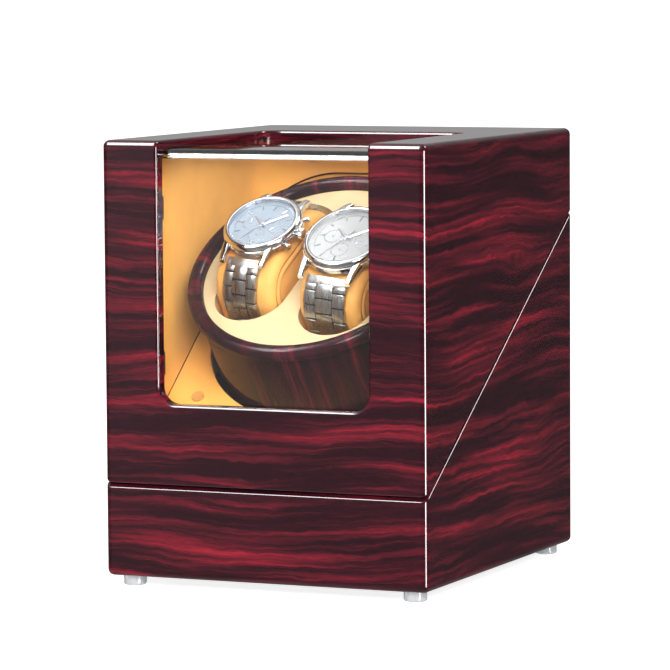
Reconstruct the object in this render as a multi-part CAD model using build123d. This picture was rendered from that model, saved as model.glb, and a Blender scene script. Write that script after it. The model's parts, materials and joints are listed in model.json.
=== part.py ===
from build123d import *
from math import acos, cos, pi, radians, sin, sqrt, tan
import os

os.makedirs("parts", exist_ok=True)

# Row frame: X to the right, Y towards the back, Z up, feet standing on Z = 0.

# Case
BODY_WIDTH = 160.0
BODY_DEPTH = 182.0
BODY_HEIGHT = 200.0
WALL = 9.0
TOP_WALL = 7.0
EDGE_RADIUS = 3.0
FOOT_HEIGHT = 5.0
FOOT_RADIUS = 5.3
SPLIT_FRONT = 41.0
SPLIT_BACK = 160.0
SPLIT_GAP = 1.6
KNUCKLE_RADIUS = 2.75
HINGE_PROUD = KNUCKLE_RADIUS

BODY_Y = -HINGE_PROUD / 2
FRONT_Y = BODY_Y - BODY_DEPTH / 2
BACK_Y = BODY_Y + BODY_DEPTH / 2
BASE_Z = FOOT_HEIGHT
TOP_Z = BASE_Z + BODY_HEIGHT
INNER_X = BODY_WIDTH / 2 - WALL
INNER_FRONT = FRONT_Y + WALL
INNER_BACK = BACK_Y - WALL
INNER_TOP = TOP_Z - TOP_WALL

# Joint plane between base and lid, rising from front to back
SPLIT_SLOPE = (SPLIT_BACK - SPLIT_FRONT) / BODY_DEPTH
HINGE_Z = BASE_Z + SPLIT_BACK + SPLIT_GAP / 2
FAR = 300.0

# Window
WINDOW_HALF = 52.0
WINDOW_SILL = BASE_Z + 80.0
WINDOW_BACK = BODY_Y + 27.0
WINDOW_CORNER = 8.0
GLASS = 3.0
GLASS_LAP = 4.0
GLASS_BEND = 5.0

# Deck and its tray
DECK_TILT = 38.0
DECK_POINT_Y = BODY_Y - 34.0
DECK_POINT_Z = BASE_Z + 87.1
DECK_THICKNESS = 4.0
DECK_SIDE_GAP = 1.5
DECK_CORNER = 32.0
TRAY_DROP = 14.0
LINER = 1.5

# Turntable, in its own frame: origin where its axis meets the deck, Z along the axis
AXIS_Y = BODY_Y - 5.4
AXIS_Z = DECK_POINT_Z + (AXIS_Y - DECK_POINT_Y) * tan(radians(DECK_TILT))
REST_TURN = -10.0
OPENING_RADIUS = 62.0
DRUM_RADIUS = 59.0
DRUM_BORE = 53.0
DRUM_LOW = -8.0
DRUM_TOP = 35.0
DRUM_FLOOR = 3.0
RING_RADIUS = 62.0
RING_BORE = 55.0
RING_HEIGHT = 7.0
FACE_THICKNESS = 2.5
FACE_Z = DRUM_TOP + FACE_THICKNESS

# Cushion slots
SLOT_OFFSET = 23.0
SLOT_WIDTH = 36.0
SLOT_LENGTH = 82.0
WELL_WALL = 1.5
WELL_LOW = 5.6
CUSHION_WIDTH = 32.0
CUSHION_LENGTH = 62.0
CUSHION_TOP = FACE_Z + 17.0
CUSHION_HEIGHT = 44.0
CUSHION_ROUND = 19.0

# Watches: case radius, bracelet width, bracelet thickness
WATCHES = {"left": (19.0, 18.0, 3.0), "right": (21.0, 22.0, 3.2)}
CASE_HEIGHT = 8.0
BEZEL = 3.0
CRYSTAL_RISE = 2.0

# Drive train
MODULE = 1.0
GEAR_TEETH = 64
PINION_TEETH = 16
PRESSURE_ANGLE = 20.0
BACKLASH = 0.14
FLANK_STEPS = 4
GEAR_LOW = -18.0
GEAR_HIGH = -12.0
FLANGE_LOW = -11.0
FLANGE_RADIUS = 18.0
BOSS_RADIUS = 9.0
BOSS_LOW = -20.0
SHAFT_RADIUS = 4.0
SHAFT_LOW = -48.0
RUN_CLEAR = 0.05
BUSH_RADIUS = 6.5
HOUSING_RADIUS = 9.0
HOUSING_TOP = -22.0
HOUSING_LOW = -45.0
PLATE_TOP = -28.0
PLATE_THICKNESS = 3.0
PLATE_LOW = PLATE_TOP - PLATE_THICKNESS
IDLER_V = -(GEAR_TEETH + PINION_TEETH) * MODULE / 2
PULLEY_LOW = -26.5
PULLEY_HIGH = -20.0
BIG_PULLEY = 22.5
SMALL_PULLEY = 5.0
BELT_RADIAL = 1.6
BELT_WIDTH = 2.4
MOTOR_X = -38.0
MOTOR_V = -64.0
MOTOR_RADIUS = 12.0
MOTOR_LENGTH = 26.0
POST_X = 54.0
POST_V = 50.0

# Rear controls
PANEL_Z = BASE_Z + 52.0
PANEL_WIDTH = 70.0
PANEL_HEIGHT = 34.0
PANEL_RECESS = 6.5
PANEL_THICKNESS = 1.5
PANEL_FACE = BACK_Y - PANEL_RECESS
KNOB_X = -21.0
ROCKER_X = 1.0
JACK_X = 22.0
ROCKER_TILT = 9.0
ROCKER_PIVOT_Y = PANEL_FACE - 2.5

# Screws: head radius, head height, shank radius, length
BOTTOM_SCREW = (3.2, 1.8, 1.6, 12.0)
HINGE_SCREW = (1.9, 1.1, 1.0, 6.5)
PANEL_SCREW = (1.6, 0.9, 0.8, 2.6)
CLEAT_SCREW = (1.6, 0.9, 0.8, 5.0)
MOTOR_SCREW = (1.7, 1.0, 1.0, 6.0)
HUB_SCREW = (1.9, 1.1, 1.0, 4.8)

# Case details
CUTOUT_ROUND = 1.5
SPLIT_ROUND = 0.7
PANEL_CUT = 4.0
PANEL_FLOOR = BASE_Z + PANEL_CUT
BOTTOM_LEDGE = 4.0
BOTTOM_SCREW_X = INNER_X - 9.0
BOTTOM_SCREW_Y = BODY_DEPTH / 2 - WALL - 9.0
FOOT_X = 70.0
FOOT_Y = 81.0
MAGNET_RADIUS = 2.5
MAGNET_DEPTH = 2.5
MAGNET_X = 62.0
MAGNET_Y = FRONT_Y + 5.2
LEDGE_WIDTH = 8.0
LEDGE_DEPTH = 6.0
GASKET_INSET = 5.2
GASKET_WIDTH = 2.4
CLEAT_THICKNESS = 1.2
CLEAT_LENGTH = 12.0
CLEAT_WIDTH = 9.0
CLEAT_SCREW_OUT = 2.0
CLEAT_X = WINDOW_HALF + GLASS_LAP + 2.5

# Hinges
HINGE_XS = (-46.0, 46.0)
HINGE_LENGTH = 30.0
LEAF_THICKNESS = 1.2
LEAF_HEIGHT = 15.0
LEAF_GAP = 0.6
PIN_RADIUS = 1.2
KNUCKLE_SPACE = 0.3

# Drive details, in the turntable's frame
POST_RADIUS = 4.0
POST_BORE = 1.6
IDLER_PIN = 2.0
GROOVE_DEPTH = 1.5
MOTOR_SHAFT = 1.5
MOTOR_SHAFT_DEPTH = 8.0
CHASSIS_X = 60.0
CHASSIS_V = (-78.0, 57.0)
MOTOR_SCREW_OFFSET = 8.5
BUSH_LENGTH = 6.0
CLIP_LOW = -46.4
CLIP_HIGH = -45.4
CLIP_GROOVE = 3.0

# Watch details
LUG_REACH = 3.5
LUG_WIDTH = 2.6
CROWN_RADIUS = 2.4

# Rear control details
KNOB_RADIUS = 7.5
KNOB_HEIGHT = 5.2
STEM_RADIUS = 3.0
ROCKER_HALF = (6.4, 4.6)
ROCKER_ROOM = 0.9
FRAME_HALF = (8.6, 7.0)
JACK_RADIUS = 5.4
JACK_BORE = 2.75

# Control board and leads
BOARD_X = (-50.0, 6.0)
BOARD_Y = (BODY_Y + 20.0, BODY_Y + 56.0)
BOARD_Z = PANEL_FLOOR + 6.0
BOARD_THICKNESS = 1.6
BOARD_SCREW_INSET = 4.0
CHIP_HEIGHT = 6.0
LEAD_RADIUS = 0.9


# ---------- helpers ----------

TURN = Plane(
    origin=(0, AXIS_Y, AXIS_Z),
    x_dir=(1, 0, 0),
    z_dir=(0, -sin(radians(DECK_TILT)), cos(radians(DECK_TILT))),
).location
SPUN = TURN * Rot(Z=REST_TURN)


def save(name, *solids):
    shape = solids[0] if len(solids) == 1 else Compound(children=list(solids))
    shape.label = name
    export_step(shape, f"parts/{name}.step")


def side_prism(half_width, *points):
    outline = make_face(Polyline(*points, close=True))
    return extrude(Plane.YZ.offset(-half_width) * outline, 2 * half_width)


def above_line(height, slope, at_y):
    """Everything above the sloping plane that passes through (at_y, height)."""
    low = height + slope * (-FAR - at_y)
    high = height + slope * (FAR - at_y)
    return side_prism(FAR, (-FAR, low), (FAR, high), (FAR, high + FAR), (-FAR, low + 3 * FAR))


def below_line(height, slope, at_y):
    low = height + slope * (-FAR - at_y)
    high = height + slope * (FAR - at_y)
    return side_prism(FAR, (-FAR, low), (FAR, high), (FAR, high - 3 * FAR), (-FAR, low - FAR))


def split_height(y):
    return BASE_Z + SPLIT_FRONT + SPLIT_SLOPE * (y - FRONT_Y)


def deck_height(y):
    return DECK_POINT_Z + (y - DECK_POINT_Y) * tan(radians(DECK_TILT))


def block(x, y, z):
    """A box from three (low, high) pairs."""
    size = (x[1] - x[0], y[1] - y[0], z[1] - z[0])
    centre = ((x[0] + x[1]) / 2, (y[0] + y[1]) / 2, (z[0] + z[1]) / 2)
    return Pos(*centre) * Box(*size)


def disc(radius, low, high, x=0.0, y=0.0):
    return Pos(x, y, (low + high) / 2) * Cylinder(radius, high - low)


def tube(outer, inner, low, high, x=0.0, y=0.0):
    return disc(outer, low, high, x, y) - disc(inner, low - 1, high + 1, x, y)


def screw(head_radius, head_height, shank_radius, length):
    """A countersunk screw with its head's face on Z = 0 and its shank going down."""
    head = Pos(0, 0, -head_height / 2) * Cone(shank_radius, head_radius, head_height)
    shank = disc(shank_radius, -length, -head_height / 2)
    slot = block((-head_radius * 0.7, head_radius * 0.7), (-0.25, 0.25), (-0.5, 0.1))
    cross = block((-0.25, 0.25), (-head_radius * 0.7, head_radius * 0.7), (-0.5, 0.1))
    return head + shank - slot - cross


def screw_hole(head_radius, head_height, shank_radius, length):
    """The hole that the screw above fills, left a little larger."""
    spare = 0.1
    head = Pos(0, 0, -head_height / 2) * Cone(shank_radius + spare, head_radius + spare, head_height)
    return head + disc(shank_radius + spare, -length - spare, -head_height / 2) + disc(
        head_radius + spare, -0.01, 2
    )


FACE_DOWN = Rot(X=180)
FACE_BACK = Rot(X=-90)


# ---------- case ----------

def rounded_body():
    body = block(
        (-BODY_WIDTH / 2, BODY_WIDTH / 2), (FRONT_Y, BACK_Y), (BASE_Z, TOP_Z)
    )
    return fillet(body.edges(), EDGE_RADIUS)


def hinge_grooves():
    grooves = []
    for x in HINGE_XS:
        groove = Rot(Y=90) * Cylinder(KNUCKLE_RADIUS + 0.4, HINGE_LENGTH + 0.8)
        grooves.append(Pos(x, BACK_Y, HINGE_Z) * groove)
    return grooves


def leaf_recess(direction):
    """Shallow recess in the back face for each hinge leaf; direction is +1 for the lid, -1 for the base."""
    low, high = sorted((HINGE_Z, HINGE_Z + direction * (LEAF_HEIGHT + 0.2)))
    recesses = []
    for x in HINGE_XS:
        half = HINGE_LENGTH / 2 + 0.2
        recesses.append(block((x - half, x + half), (BACK_Y - LEAF_THICKNESS, BACK_Y + 5), (low, high)))
    return recesses


def leaf_screw_spots(direction):
    z = HINGE_Z + direction * 9.5
    return [(x + side * 9.0, BACK_Y, z) for x in HINGE_XS for side in (-1, 1)]


def rim_plane(y):
    """A frame on the base's joint plane at depth y, its Z square to the plane."""
    origin = (0, y, split_height(y))
    return Plane(origin=origin, x_dir=(1, 0, 0), z_dir=(0, -SPLIT_SLOPE, 1)).location


def magnet(lift_low, lift_high):
    magnets = []
    for x in (-MAGNET_X, MAGNET_X):
        magnets.append(rim_plane(MAGNET_Y) * disc(MAGNET_RADIUS, lift_low, lift_high, x))
    return magnets


def square_gap():
    """The joint's gap measured square to the joint plane."""
    return SPLIT_GAP / sqrt(1 + SPLIT_SLOPE**2)


def tray_ledges():
    """Battens inside both side walls that carry the tray's skirts."""
    ledges = []
    for side in (-1, 1):
        x = sorted((side * (INNER_X - LEDGE_WIDTH), side * (INNER_X + 1)))
        bar = block(x, (INNER_FRONT - 1, INNER_BACK + 1), (BASE_Z, TOP_Z))
        top = split_height(0) - TRAY_DROP
        bar = bar & below_line(top, SPLIT_SLOPE, 0) & above_line(top - LEDGE_DEPTH, SPLIT_SLOPE, 0)
        ledges.append(bar & above_line(PANEL_FLOOR + 6, 0, 0))
    return ledges


def corner_blocks():
    blocks = []
    for sx in (-1, 1):
        for sy in (-1, 1):
            x = sorted((sx * (INNER_X - 15), sx * (INNER_X + 1)))
            y_wall = INNER_FRONT if sy < 0 else INNER_BACK
            y = sorted((y_wall - sy * 15, y_wall + sy))
            blocks.append(block(x, y, (PANEL_FLOOR, PANEL_FLOOR + 16)))
    return blocks


def panel_pocket():
    wide = block(
        (-PANEL_WIDTH / 2 - 0.2, PANEL_WIDTH / 2 + 0.2),
        (PANEL_FACE - PANEL_THICKNESS, BACK_Y + 1),
        (PANEL_Z - PANEL_HEIGHT / 2 - 0.2, PANEL_Z + PANEL_HEIGHT / 2 + 0.2),
    )
    through = block(
        (-PANEL_WIDTH / 2 + 5, PANEL_WIDTH / 2 - 5),
        (INNER_BACK - 1, BACK_Y),
        (PANEL_Z - PANEL_HEIGHT / 2 + 5, PANEL_Z + PANEL_HEIGHT / 2 - 5),
    )
    return wide + through


def bottom_screw_spots():
    return [
        (sx * BOTTOM_SCREW_X, BODY_Y + sy * BOTTOM_SCREW_Y, BASE_Z) for sx in (-1, 1) for sy in (-1, 1)
    ]


def panel_screw_spots():
    dx = PANEL_WIDTH / 2 - 3
    dz = PANEL_HEIGHT / 2 - 3
    return [(sx * dx, PANEL_FACE, PANEL_Z + sz * dz) for sx in (-1, 1) for sz in (-1, 1)]


def rim_height(face):
    """How far a face's middle lies above the joint plane, measured along Z."""
    return face.center().Z - SPLIT_SLOPE * face.center().Y


def cutout_edges(shell):
    """The cutout's edges on the lid's outer surface, front and top."""
    spare = 0.5
    edges = []
    for edge in shell.edges():
        middle = edge @ 0.5
        on_skin = middle.Y < FRONT_Y + EDGE_RADIUS or middle.Z > TOP_Z - EDGE_RADIUS
        beside = abs(middle.X) < WINDOW_HALF + spare
        along = middle.Y < WINDOW_BACK + spare and middle.Z > WINDOW_SILL - spare
        if on_skin and beside and along:
            edges.append(edge)
    return edges


def make_base_case():
    case = rounded_body() & below_line(split_height(0), SPLIT_SLOPE, 0)
    case = fillet(case.faces().sort_by(rim_height)[-1].outer_wire().edges(), SPLIT_ROUND)
    case -= block((-INNER_X, INNER_X), (INNER_FRONT, INNER_BACK), (BASE_Z - 1, TOP_Z))
    ledge_x = INNER_X + BOTTOM_LEDGE
    case -= block(
        (-ledge_x, ledge_x),
        (INNER_FRONT - BOTTOM_LEDGE, INNER_BACK + BOTTOM_LEDGE),
        (BASE_Z - 1, PANEL_FLOOR),
    )
    for piece in tray_ledges() + corner_blocks():
        case += piece
    case -= panel_pocket()
    for cut in hinge_grooves() + leaf_recess(-1) + magnet(-MAGNET_DEPTH, 1):
        case -= cut
    for spot in bottom_screw_spots():
        case -= Pos(*spot) * FACE_DOWN * screw_hole(*BOTTOM_SCREW)
    for spot in leaf_screw_spots(-1):
        case -= Pos(*spot) * FACE_BACK * screw_hole(*HINGE_SCREW)
    for spot in panel_screw_spots():
        case -= Pos(*spot) * FACE_BACK * screw_hole(*PANEL_SCREW)
    return case


def make_bottom_panel():
    spare = 0.2
    reach = INNER_X + BOTTOM_LEDGE - spare
    panel = block(
        (-reach, reach),
        (INNER_FRONT - BOTTOM_LEDGE + spare, INNER_BACK + BOTTOM_LEDGE - spare),
        (BASE_Z, PANEL_FLOOR),
    )
    for spot in bottom_screw_spots():
        panel -= Pos(*spot) * FACE_DOWN * screw_hole(*BOTTOM_SCREW)
    return panel


def window_cutout():
    """The opening in the front face that runs on over the top edge."""
    front = block((-WINDOW_HALF, WINDOW_HALF), (FRONT_Y - 5, INNER_FRONT + 1), (WINDOW_SILL, TOP_Z + 5))
    low_edges = front.edges().filter_by(Axis.Y).group_by(Axis.Z)[0]
    front = fillet(low_edges, WINDOW_CORNER)
    top = block((-WINDOW_HALF, WINDOW_HALF), (FRONT_Y - 5, WINDOW_BACK), (INNER_TOP - 1, TOP_Z + 5))
    back_edges = top.edges().filter_by(Axis.Z).group_by(Axis.Y)[-1]
    return front + fillet(back_edges, WINDOW_CORNER)


def window_profile(spare, half_width):
    """The bent sheet: upright front pane, bend, flat top pane."""
    front = INNER_FRONT - GLASS - spare
    low = WINDOW_SILL - GLASS_LAP - spare
    top = INNER_TOP + GLASS + spare
    back = WINDOW_BACK + GLASS_LAP + spare
    outer = block((-half_width, half_width), (front, back), (low, top))
    bend = outer.edges().filter_by(Axis.X).sort_by(lambda e: e.center().Y - e.center().Z)[0]
    return fillet(bend, GLASS_BEND + spare)


def make_window():
    half = WINDOW_HALF + GLASS_LAP
    sheet = window_profile(0, half)
    inner = block(
        (-half - 1, half + 1),
        (INNER_FRONT, WINDOW_BACK + 20),
        (WINDOW_SILL - 20, INNER_TOP),
    )
    bend = inner.edges().filter_by(Axis.X).sort_by(lambda e: e.center().Y - e.center().Z)[0]
    return sheet - fillet(bend, GLASS_BEND - GLASS)


def make_lid_shell():
    shell = rounded_body() & above_line(split_height(0) + SPLIT_GAP, SPLIT_SLOPE, 0)
    shell = fillet(shell.faces().sort_by(rim_height)[0].outer_wire().edges(), SPLIT_ROUND)
    shell -= block((-INNER_X, INNER_X), (INNER_FRONT, INNER_BACK), (BASE_Z, INNER_TOP))
    shell -= window_cutout()
    shell = fillet(cutout_edges(shell), CUTOUT_ROUND)
    shell -= window_profile(0.2, WINDOW_HALF + GLASS_LAP + 0.2)
    gap = square_gap()
    for cut in hinge_grooves() + leaf_recess(1) + magnet(gap - 1, gap + MAGNET_DEPTH):
        shell -= cut
    for spot in leaf_screw_spots(1):
        shell -= Pos(*spot) * FACE_BACK * screw_hole(*HINGE_SCREW)
    for spot in cleat_spots():
        shell -= spot * Pos(CLEAT_SCREW_OUT, 0, CLEAT_THICKNESS) * screw_hole(*CLEAT_SCREW)
    return shell


def cleat_spots():
    """Frames on the inner faces at the sheet's edges: X away from the opening, Z into the box."""
    spots = []
    for side in (-1, 1):
        for z in (WINDOW_SILL + 18, INNER_TOP - 24):
            plane = Plane(origin=(side * CLEAT_X, INNER_FRONT, z), x_dir=(side, 0, 0), z_dir=(0, 1, 0))
            spots.append(plane.location)
        for y in (INNER_FRONT + 24, WINDOW_BACK - 14):
            plane = Plane(origin=(side * CLEAT_X, y, INNER_TOP), x_dir=(side, 0, 0), z_dir=(0, 0, -1))
            spots.append(plane.location)
    return spots


def make_cleats():
    cleats = []
    for spot in cleat_spots():
        plate = block(
            (-CLEAT_WIDTH / 2 - 1, CLEAT_WIDTH / 2 + 0.5),
            (-CLEAT_LENGTH / 2, CLEAT_LENGTH / 2),
            (0, CLEAT_THICKNESS),
        )
        plate = fillet(plate.edges().filter_by(Axis.Z), 1.5)
        plate -= Pos(CLEAT_SCREW_OUT, 0, CLEAT_THICKNESS) * screw_hole(*CLEAT_SCREW)
        cleats.append(spot * plate)
    return cleats


def make_cleat_screws():
    return [
        spot * Pos(CLEAT_SCREW_OUT, 0, CLEAT_THICKNESS) * screw(*CLEAT_SCREW) for spot in cleat_spots()
    ]


def rounded_plan(half_width, front, back, corner):
    """A tall column with its two rear corners rounded."""
    column = block((-half_width, half_width), (front, back), (BASE_Z, TOP_Z))
    rear_edges = column.edges().filter_by(Axis.Z).group_by(Axis.Y)[-1]
    return fillet(rear_edges, corner)


def make_lid_liner():
    outer = rounded_plan(INNER_X, INNER_FRONT, INNER_BACK, DECK_CORNER + LINER)
    inner = rounded_plan(INNER_X - LINER, INNER_FRONT - 1, INNER_BACK - LINER, DECK_CORNER)
    band = (outer - inner) & block((-FAR, FAR), (-FAR, FAR), (BASE_Z, INNER_TOP))
    return band & above_line(deck_height(0) + 1.0, tan(radians(DECK_TILT)), 0)


def make_deck_tray():
    slope = tan(radians(DECK_TILT))
    half = INNER_X - DECK_SIDE_GAP
    front = INNER_FRONT + DECK_SIDE_GAP
    back = INNER_BACK - DECK_SIDE_GAP
    low = split_height(0) - TRAY_DROP
    outer = rounded_plan(half, front, back, DECK_CORNER)
    outer = outer & below_line(deck_height(0), slope, 0) & above_line(low, SPLIT_SLOPE, 0)
    skirt = 4.0
    inner = rounded_plan(half - skirt, front + skirt, back - skirt, DECK_CORNER - skirt)
    inner = inner & below_line(deck_height(0) - DECK_THICKNESS / cos(radians(DECK_TILT)), slope, 0)
    tray = outer - inner
    tray -= TURN * disc(OPENING_RADIUS, -DECK_THICKNESS - 1, 5)
    for x, v in post_spots():
        tray -= TURN * disc(POST_BORE, -DECK_THICKNESS - 1, 5, x, v)
    return tray


def post_spots():
    return [(sx * POST_X, sy * POST_V) for sx in (-1, 1) for sy in (-1, 1)]


def make_rim_gasket():
    """A thin black cushion strip that runs round the base's rim inside the joint."""
    outer, inner = [
        block(
            (-BODY_WIDTH / 2 + inset, BODY_WIDTH / 2 - inset),
            (FRONT_Y + inset, BACK_Y - inset),
            (BASE_Z, TOP_Z),
        )
        for inset in (GASKET_INSET, GASKET_INSET + GASKET_WIDTH)
    ]
    strip = (outer - inner) & above_line(split_height(0), SPLIT_SLOPE, 0)
    strip = strip & below_line(split_height(0) + SPLIT_GAP * 0.7, SPLIT_SLOPE, 0)
    for x in (-MAGNET_X, MAGNET_X):
        strip -= rim_plane(MAGNET_Y) * disc(MAGNET_RADIUS + 0.4, -5, 5, x)
    return strip


def make_feet():
    feet = []
    for sx in (-1, 1):
        for sy in (-1, 1):
            foot = disc(FOOT_RADIUS, 0, FOOT_HEIGHT, sx * FOOT_X, BODY_Y + sy * FOOT_Y)
            feet.append(fillet(foot.edges().group_by(Axis.Z)[0], 1.2))
    return feet


# ---------- hinges ----------

def knuckle(x_low, x_high):
    barrel = Rot(Y=90) * Cylinder(KNUCKLE_RADIUS, x_high - x_low)
    bore = Rot(Y=90) * Cylinder(PIN_RADIUS + RUN_CLEAR, x_high - x_low + 2)
    return Pos((x_low + x_high) / 2, BACK_Y, HINGE_Z) * (barrel - bore)


def leaf(x, direction, spans, other_spans):
    """One hinge leaf with its knuckles; spans are (low, high) along the pin."""
    low, high = sorted((HINGE_Z + direction * LEAF_GAP, HINGE_Z + direction * LEAF_HEIGHT))
    half = HINGE_LENGTH / 2
    plate = block((x - half, x + half), (BACK_Y - LEAF_THICKNESS, BACK_Y), (low, high))
    for a, b in other_spans:
        room = Rot(Y=90) * Cylinder(KNUCKLE_RADIUS + 0.3, b - a + 2 * KNUCKLE_SPACE)
        plate -= Pos(x + (a + b) / 2, BACK_Y, HINGE_Z) * room
    bore = Rot(Y=90) * Cylinder(PIN_RADIUS + RUN_CLEAR, HINGE_LENGTH + 2)
    plate -= Pos(x, BACK_Y, HINGE_Z) * bore
    for a, b in spans:
        plate += knuckle(x + a, x + b)
    for sx, sy, sz in leaf_screw_spots(direction):
        plate -= Pos(sx, sy, sz) * FACE_BACK * screw_hole(*HINGE_SCREW)
    return plate


def hinge_spans():
    third = HINGE_LENGTH / 3
    half = HINGE_LENGTH / 2
    outer = [(-half, -half + third - KNUCKLE_SPACE), (half - third + KNUCKLE_SPACE, half)]
    middle = [(-half + third, half - third)]
    return outer, middle


def make_hinges():
    outer, middle = hinge_spans()
    save("hinge_base_leaves", *[leaf(x, -1, outer, middle) for x in HINGE_XS])
    save("hinge_lid_leaves", *[leaf(x, 1, middle, outer) for x in HINGE_XS])
    pins = [Pos(x, BACK_Y, HINGE_Z) * Rot(Y=90) * Cylinder(PIN_RADIUS, HINGE_LENGTH) for x in HINGE_XS]
    save("hinge_pins", *pins)
    for name, direction in (("base", -1), ("lid", 1)):
        screws = [Pos(*spot) * FACE_BACK * screw(*HINGE_SCREW) for spot in leaf_screw_spots(direction)]
        save(f"hinge_screws_{name}", *screws)


# ---------- gears ----------

def involute(angle):
    return tan(angle) - angle


def gear_outline(teeth, phase):
    """Stub involute teeth; phase is the angle of the first tooth's middle, in degrees."""
    pitch_radius = MODULE * teeth / 2
    base_radius = pitch_radius * cos(radians(PRESSURE_ANGLE))
    tip_radius = pitch_radius + 0.8 * MODULE
    root_radius = pitch_radius - 1.1 * MODULE
    half_tooth = (pi * MODULE / 2 - BACKLASH) / 2 / pitch_radius
    low = max(base_radius, root_radius)
    flank = []
    for step in range(FLANK_STEPS + 1):
        radius = low + (tip_radius - low) * step / FLANK_STEPS
        lean = involute(radians(PRESSURE_ANGLE)) - involute(acos(base_radius / radius))
        flank.append((radius, half_tooth + lean))
    if root_radius < base_radius:
        flank.insert(0, (root_radius, flank[0][1]))
    points = []
    for tooth in range(teeth):
        middle = radians(phase) + 2 * pi * tooth / teeth
        outline = [(r, middle - a) for r, a in flank] + [(r, middle + a) for r, a in reversed(flank)]
        points += [(r * cos(a), r * sin(a)) for r, a in outline]
    return make_face(Polyline(*points, close=True))


def make_output_gear():
    gear = extrude(gear_outline(GEAR_TEETH, -90), GEAR_HIGH - GEAR_LOW)
    gear = Pos(0, 0, GEAR_LOW) * gear
    gear -= disc(BOSS_RADIUS + 0.02, GEAR_LOW - 1, GEAR_HIGH + 1)
    web_low = tube(GEAR_TEETH * MODULE / 2 - 4, BOSS_RADIUS + 5, GEAR_LOW - 1, GEAR_LOW + 1.8)
    gear -= web_low
    return TURN * gear


def make_idler():
    """Pinion and large belt pulley moulded as one, running on a fixed pin."""
    pinion = extrude(gear_outline(PINION_TEETH, 90 + 180 / PINION_TEETH), GEAR_HIGH + 0.5 - PULLEY_HIGH)
    pinion = Pos(0, 0, PULLEY_HIGH) * pinion
    wheel = grooved_pulley(BIG_PULLEY)
    idler = wheel + pinion - disc(IDLER_PIN + RUN_CLEAR, PULLEY_LOW - 1, GEAR_HIGH + 2)
    return TURN * Pos(0, IDLER_V, 0) * idler


def grooved_pulley(radius):
    """A pulley whose belt groove bottoms at the given radius."""
    wheel = disc(radius + GROOVE_DEPTH, PULLEY_LOW, PULLEY_HIGH)
    middle = (PULLEY_LOW + PULLEY_HIGH) / 2
    half = BELT_WIDTH / 2 + 0.3
    return wheel - tube(radius + GROOVE_DEPTH + 1, radius, middle - half, middle + half)


def make_motor_pulley():
    wheel = grooved_pulley(SMALL_PULLEY) - disc(MOTOR_SHAFT, PULLEY_LOW - 1, PULLEY_HIGH + 1)
    return TURN * Pos(MOTOR_X, MOTOR_V, 0) * wheel


def make_motor_shaft():
    shaft = disc(MOTOR_SHAFT, PLATE_LOW - MOTOR_SHAFT_DEPTH, PULLEY_HIGH)
    return TURN * Pos(MOTOR_X, MOTOR_V, 0) * shaft


def belt_face(extra):
    circles = Pos(0, IDLER_V) * Circle(BIG_PULLEY + extra) + Pos(MOTOR_X, MOTOR_V) * Circle(
        SMALL_PULLEY + extra
    )
    return make_hull(circles.edges())


def make_drive_belt():
    middle = (PULLEY_LOW + PULLEY_HIGH) / 2
    inner = 0.08
    loop = extrude(belt_face(inner + BELT_RADIAL), BELT_WIDTH) - extrude(belt_face(inner), BELT_WIDTH)
    return TURN * Pos(0, 0, middle - BELT_WIDTH / 2) * loop


# ---------- drive housing ----------


def motor_screw_spots():
    return [(MOTOR_X + side * MOTOR_SCREW_OFFSET, MOTOR_V) for side in (-1, 1)]


def make_drive_chassis():
    plate = block((-CHASSIS_X, CHASSIS_X), CHASSIS_V, (PLATE_LOW, PLATE_TOP))
    plate = fillet(plate.edges().filter_by(Axis.Z), 6)
    for x, v in post_spots():
        plate += disc(POST_RADIUS, PLATE_LOW, -DECK_THICKNESS, x, v)
        plate -= disc(POST_BORE, PLATE_LOW + 1.5, 0, x, v)
    plate += disc(HOUSING_RADIUS, HOUSING_LOW, HOUSING_TOP)
    plate -= disc(BUSH_RADIUS, HOUSING_LOW - 1, HOUSING_TOP + 1)
    plate -= disc(IDLER_PIN, PLATE_LOW - 1, PLATE_TOP + 1, 0, IDLER_V)
    plate -= disc(MOTOR_SHAFT + 1.5, PLATE_LOW - 1, PLATE_TOP + 1, MOTOR_X, MOTOR_V)
    for x, v in motor_screw_spots():
        plate -= Pos(x, v, PLATE_TOP) * screw_hole(*MOTOR_SCREW)
    for v in (-22.0, 38.0):
        for side in (-1, 1):
            plate -= disc(9.0, PLATE_LOW - 1, PLATE_TOP + 1, side * 38.0, v)
    return TURN * plate


def make_idler_pin():
    pin = disc(IDLER_PIN, PLATE_LOW, GEAR_HIGH + 2.5, 0, IDLER_V)
    collar = disc(IDLER_PIN + 1.5, PLATE_TOP, PULLEY_LOW - 0.3, 0, IDLER_V)
    return TURN * (pin + collar)


def make_bush(low):
    bush = tube(BUSH_RADIUS, SHAFT_RADIUS + RUN_CLEAR, low, low + BUSH_LENGTH)
    return bush


def make_upper_bush():
    flange = tube(BUSH_RADIUS + 2, SHAFT_RADIUS + RUN_CLEAR, HOUSING_TOP, BOSS_LOW - 0.1)
    return TURN * (make_bush(HOUSING_TOP - BUSH_LENGTH) + flange)


def make_lower_bush():
    return TURN * make_bush(HOUSING_LOW)


def make_gear_motor():
    can = disc(MOTOR_RADIUS, PLATE_LOW - MOTOR_LENGTH, PLATE_LOW, MOTOR_X, MOTOR_V)
    can = fillet(can.edges().group_by(Axis.Z)[0], 1.5)
    can += disc(4.0, PLATE_LOW - MOTOR_LENGTH - 2, PLATE_LOW - MOTOR_LENGTH, MOTOR_X, MOTOR_V)
    can -= disc(
        MOTOR_SHAFT + RUN_CLEAR, PLATE_LOW - MOTOR_SHAFT_DEPTH - 0.5, PLATE_LOW + 1, MOTOR_X, MOTOR_V
    )
    for x, v in motor_screw_spots():
        can -= Pos(x, v, PLATE_TOP) * screw_hole(*MOTOR_SCREW)
    return TURN * can


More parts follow.
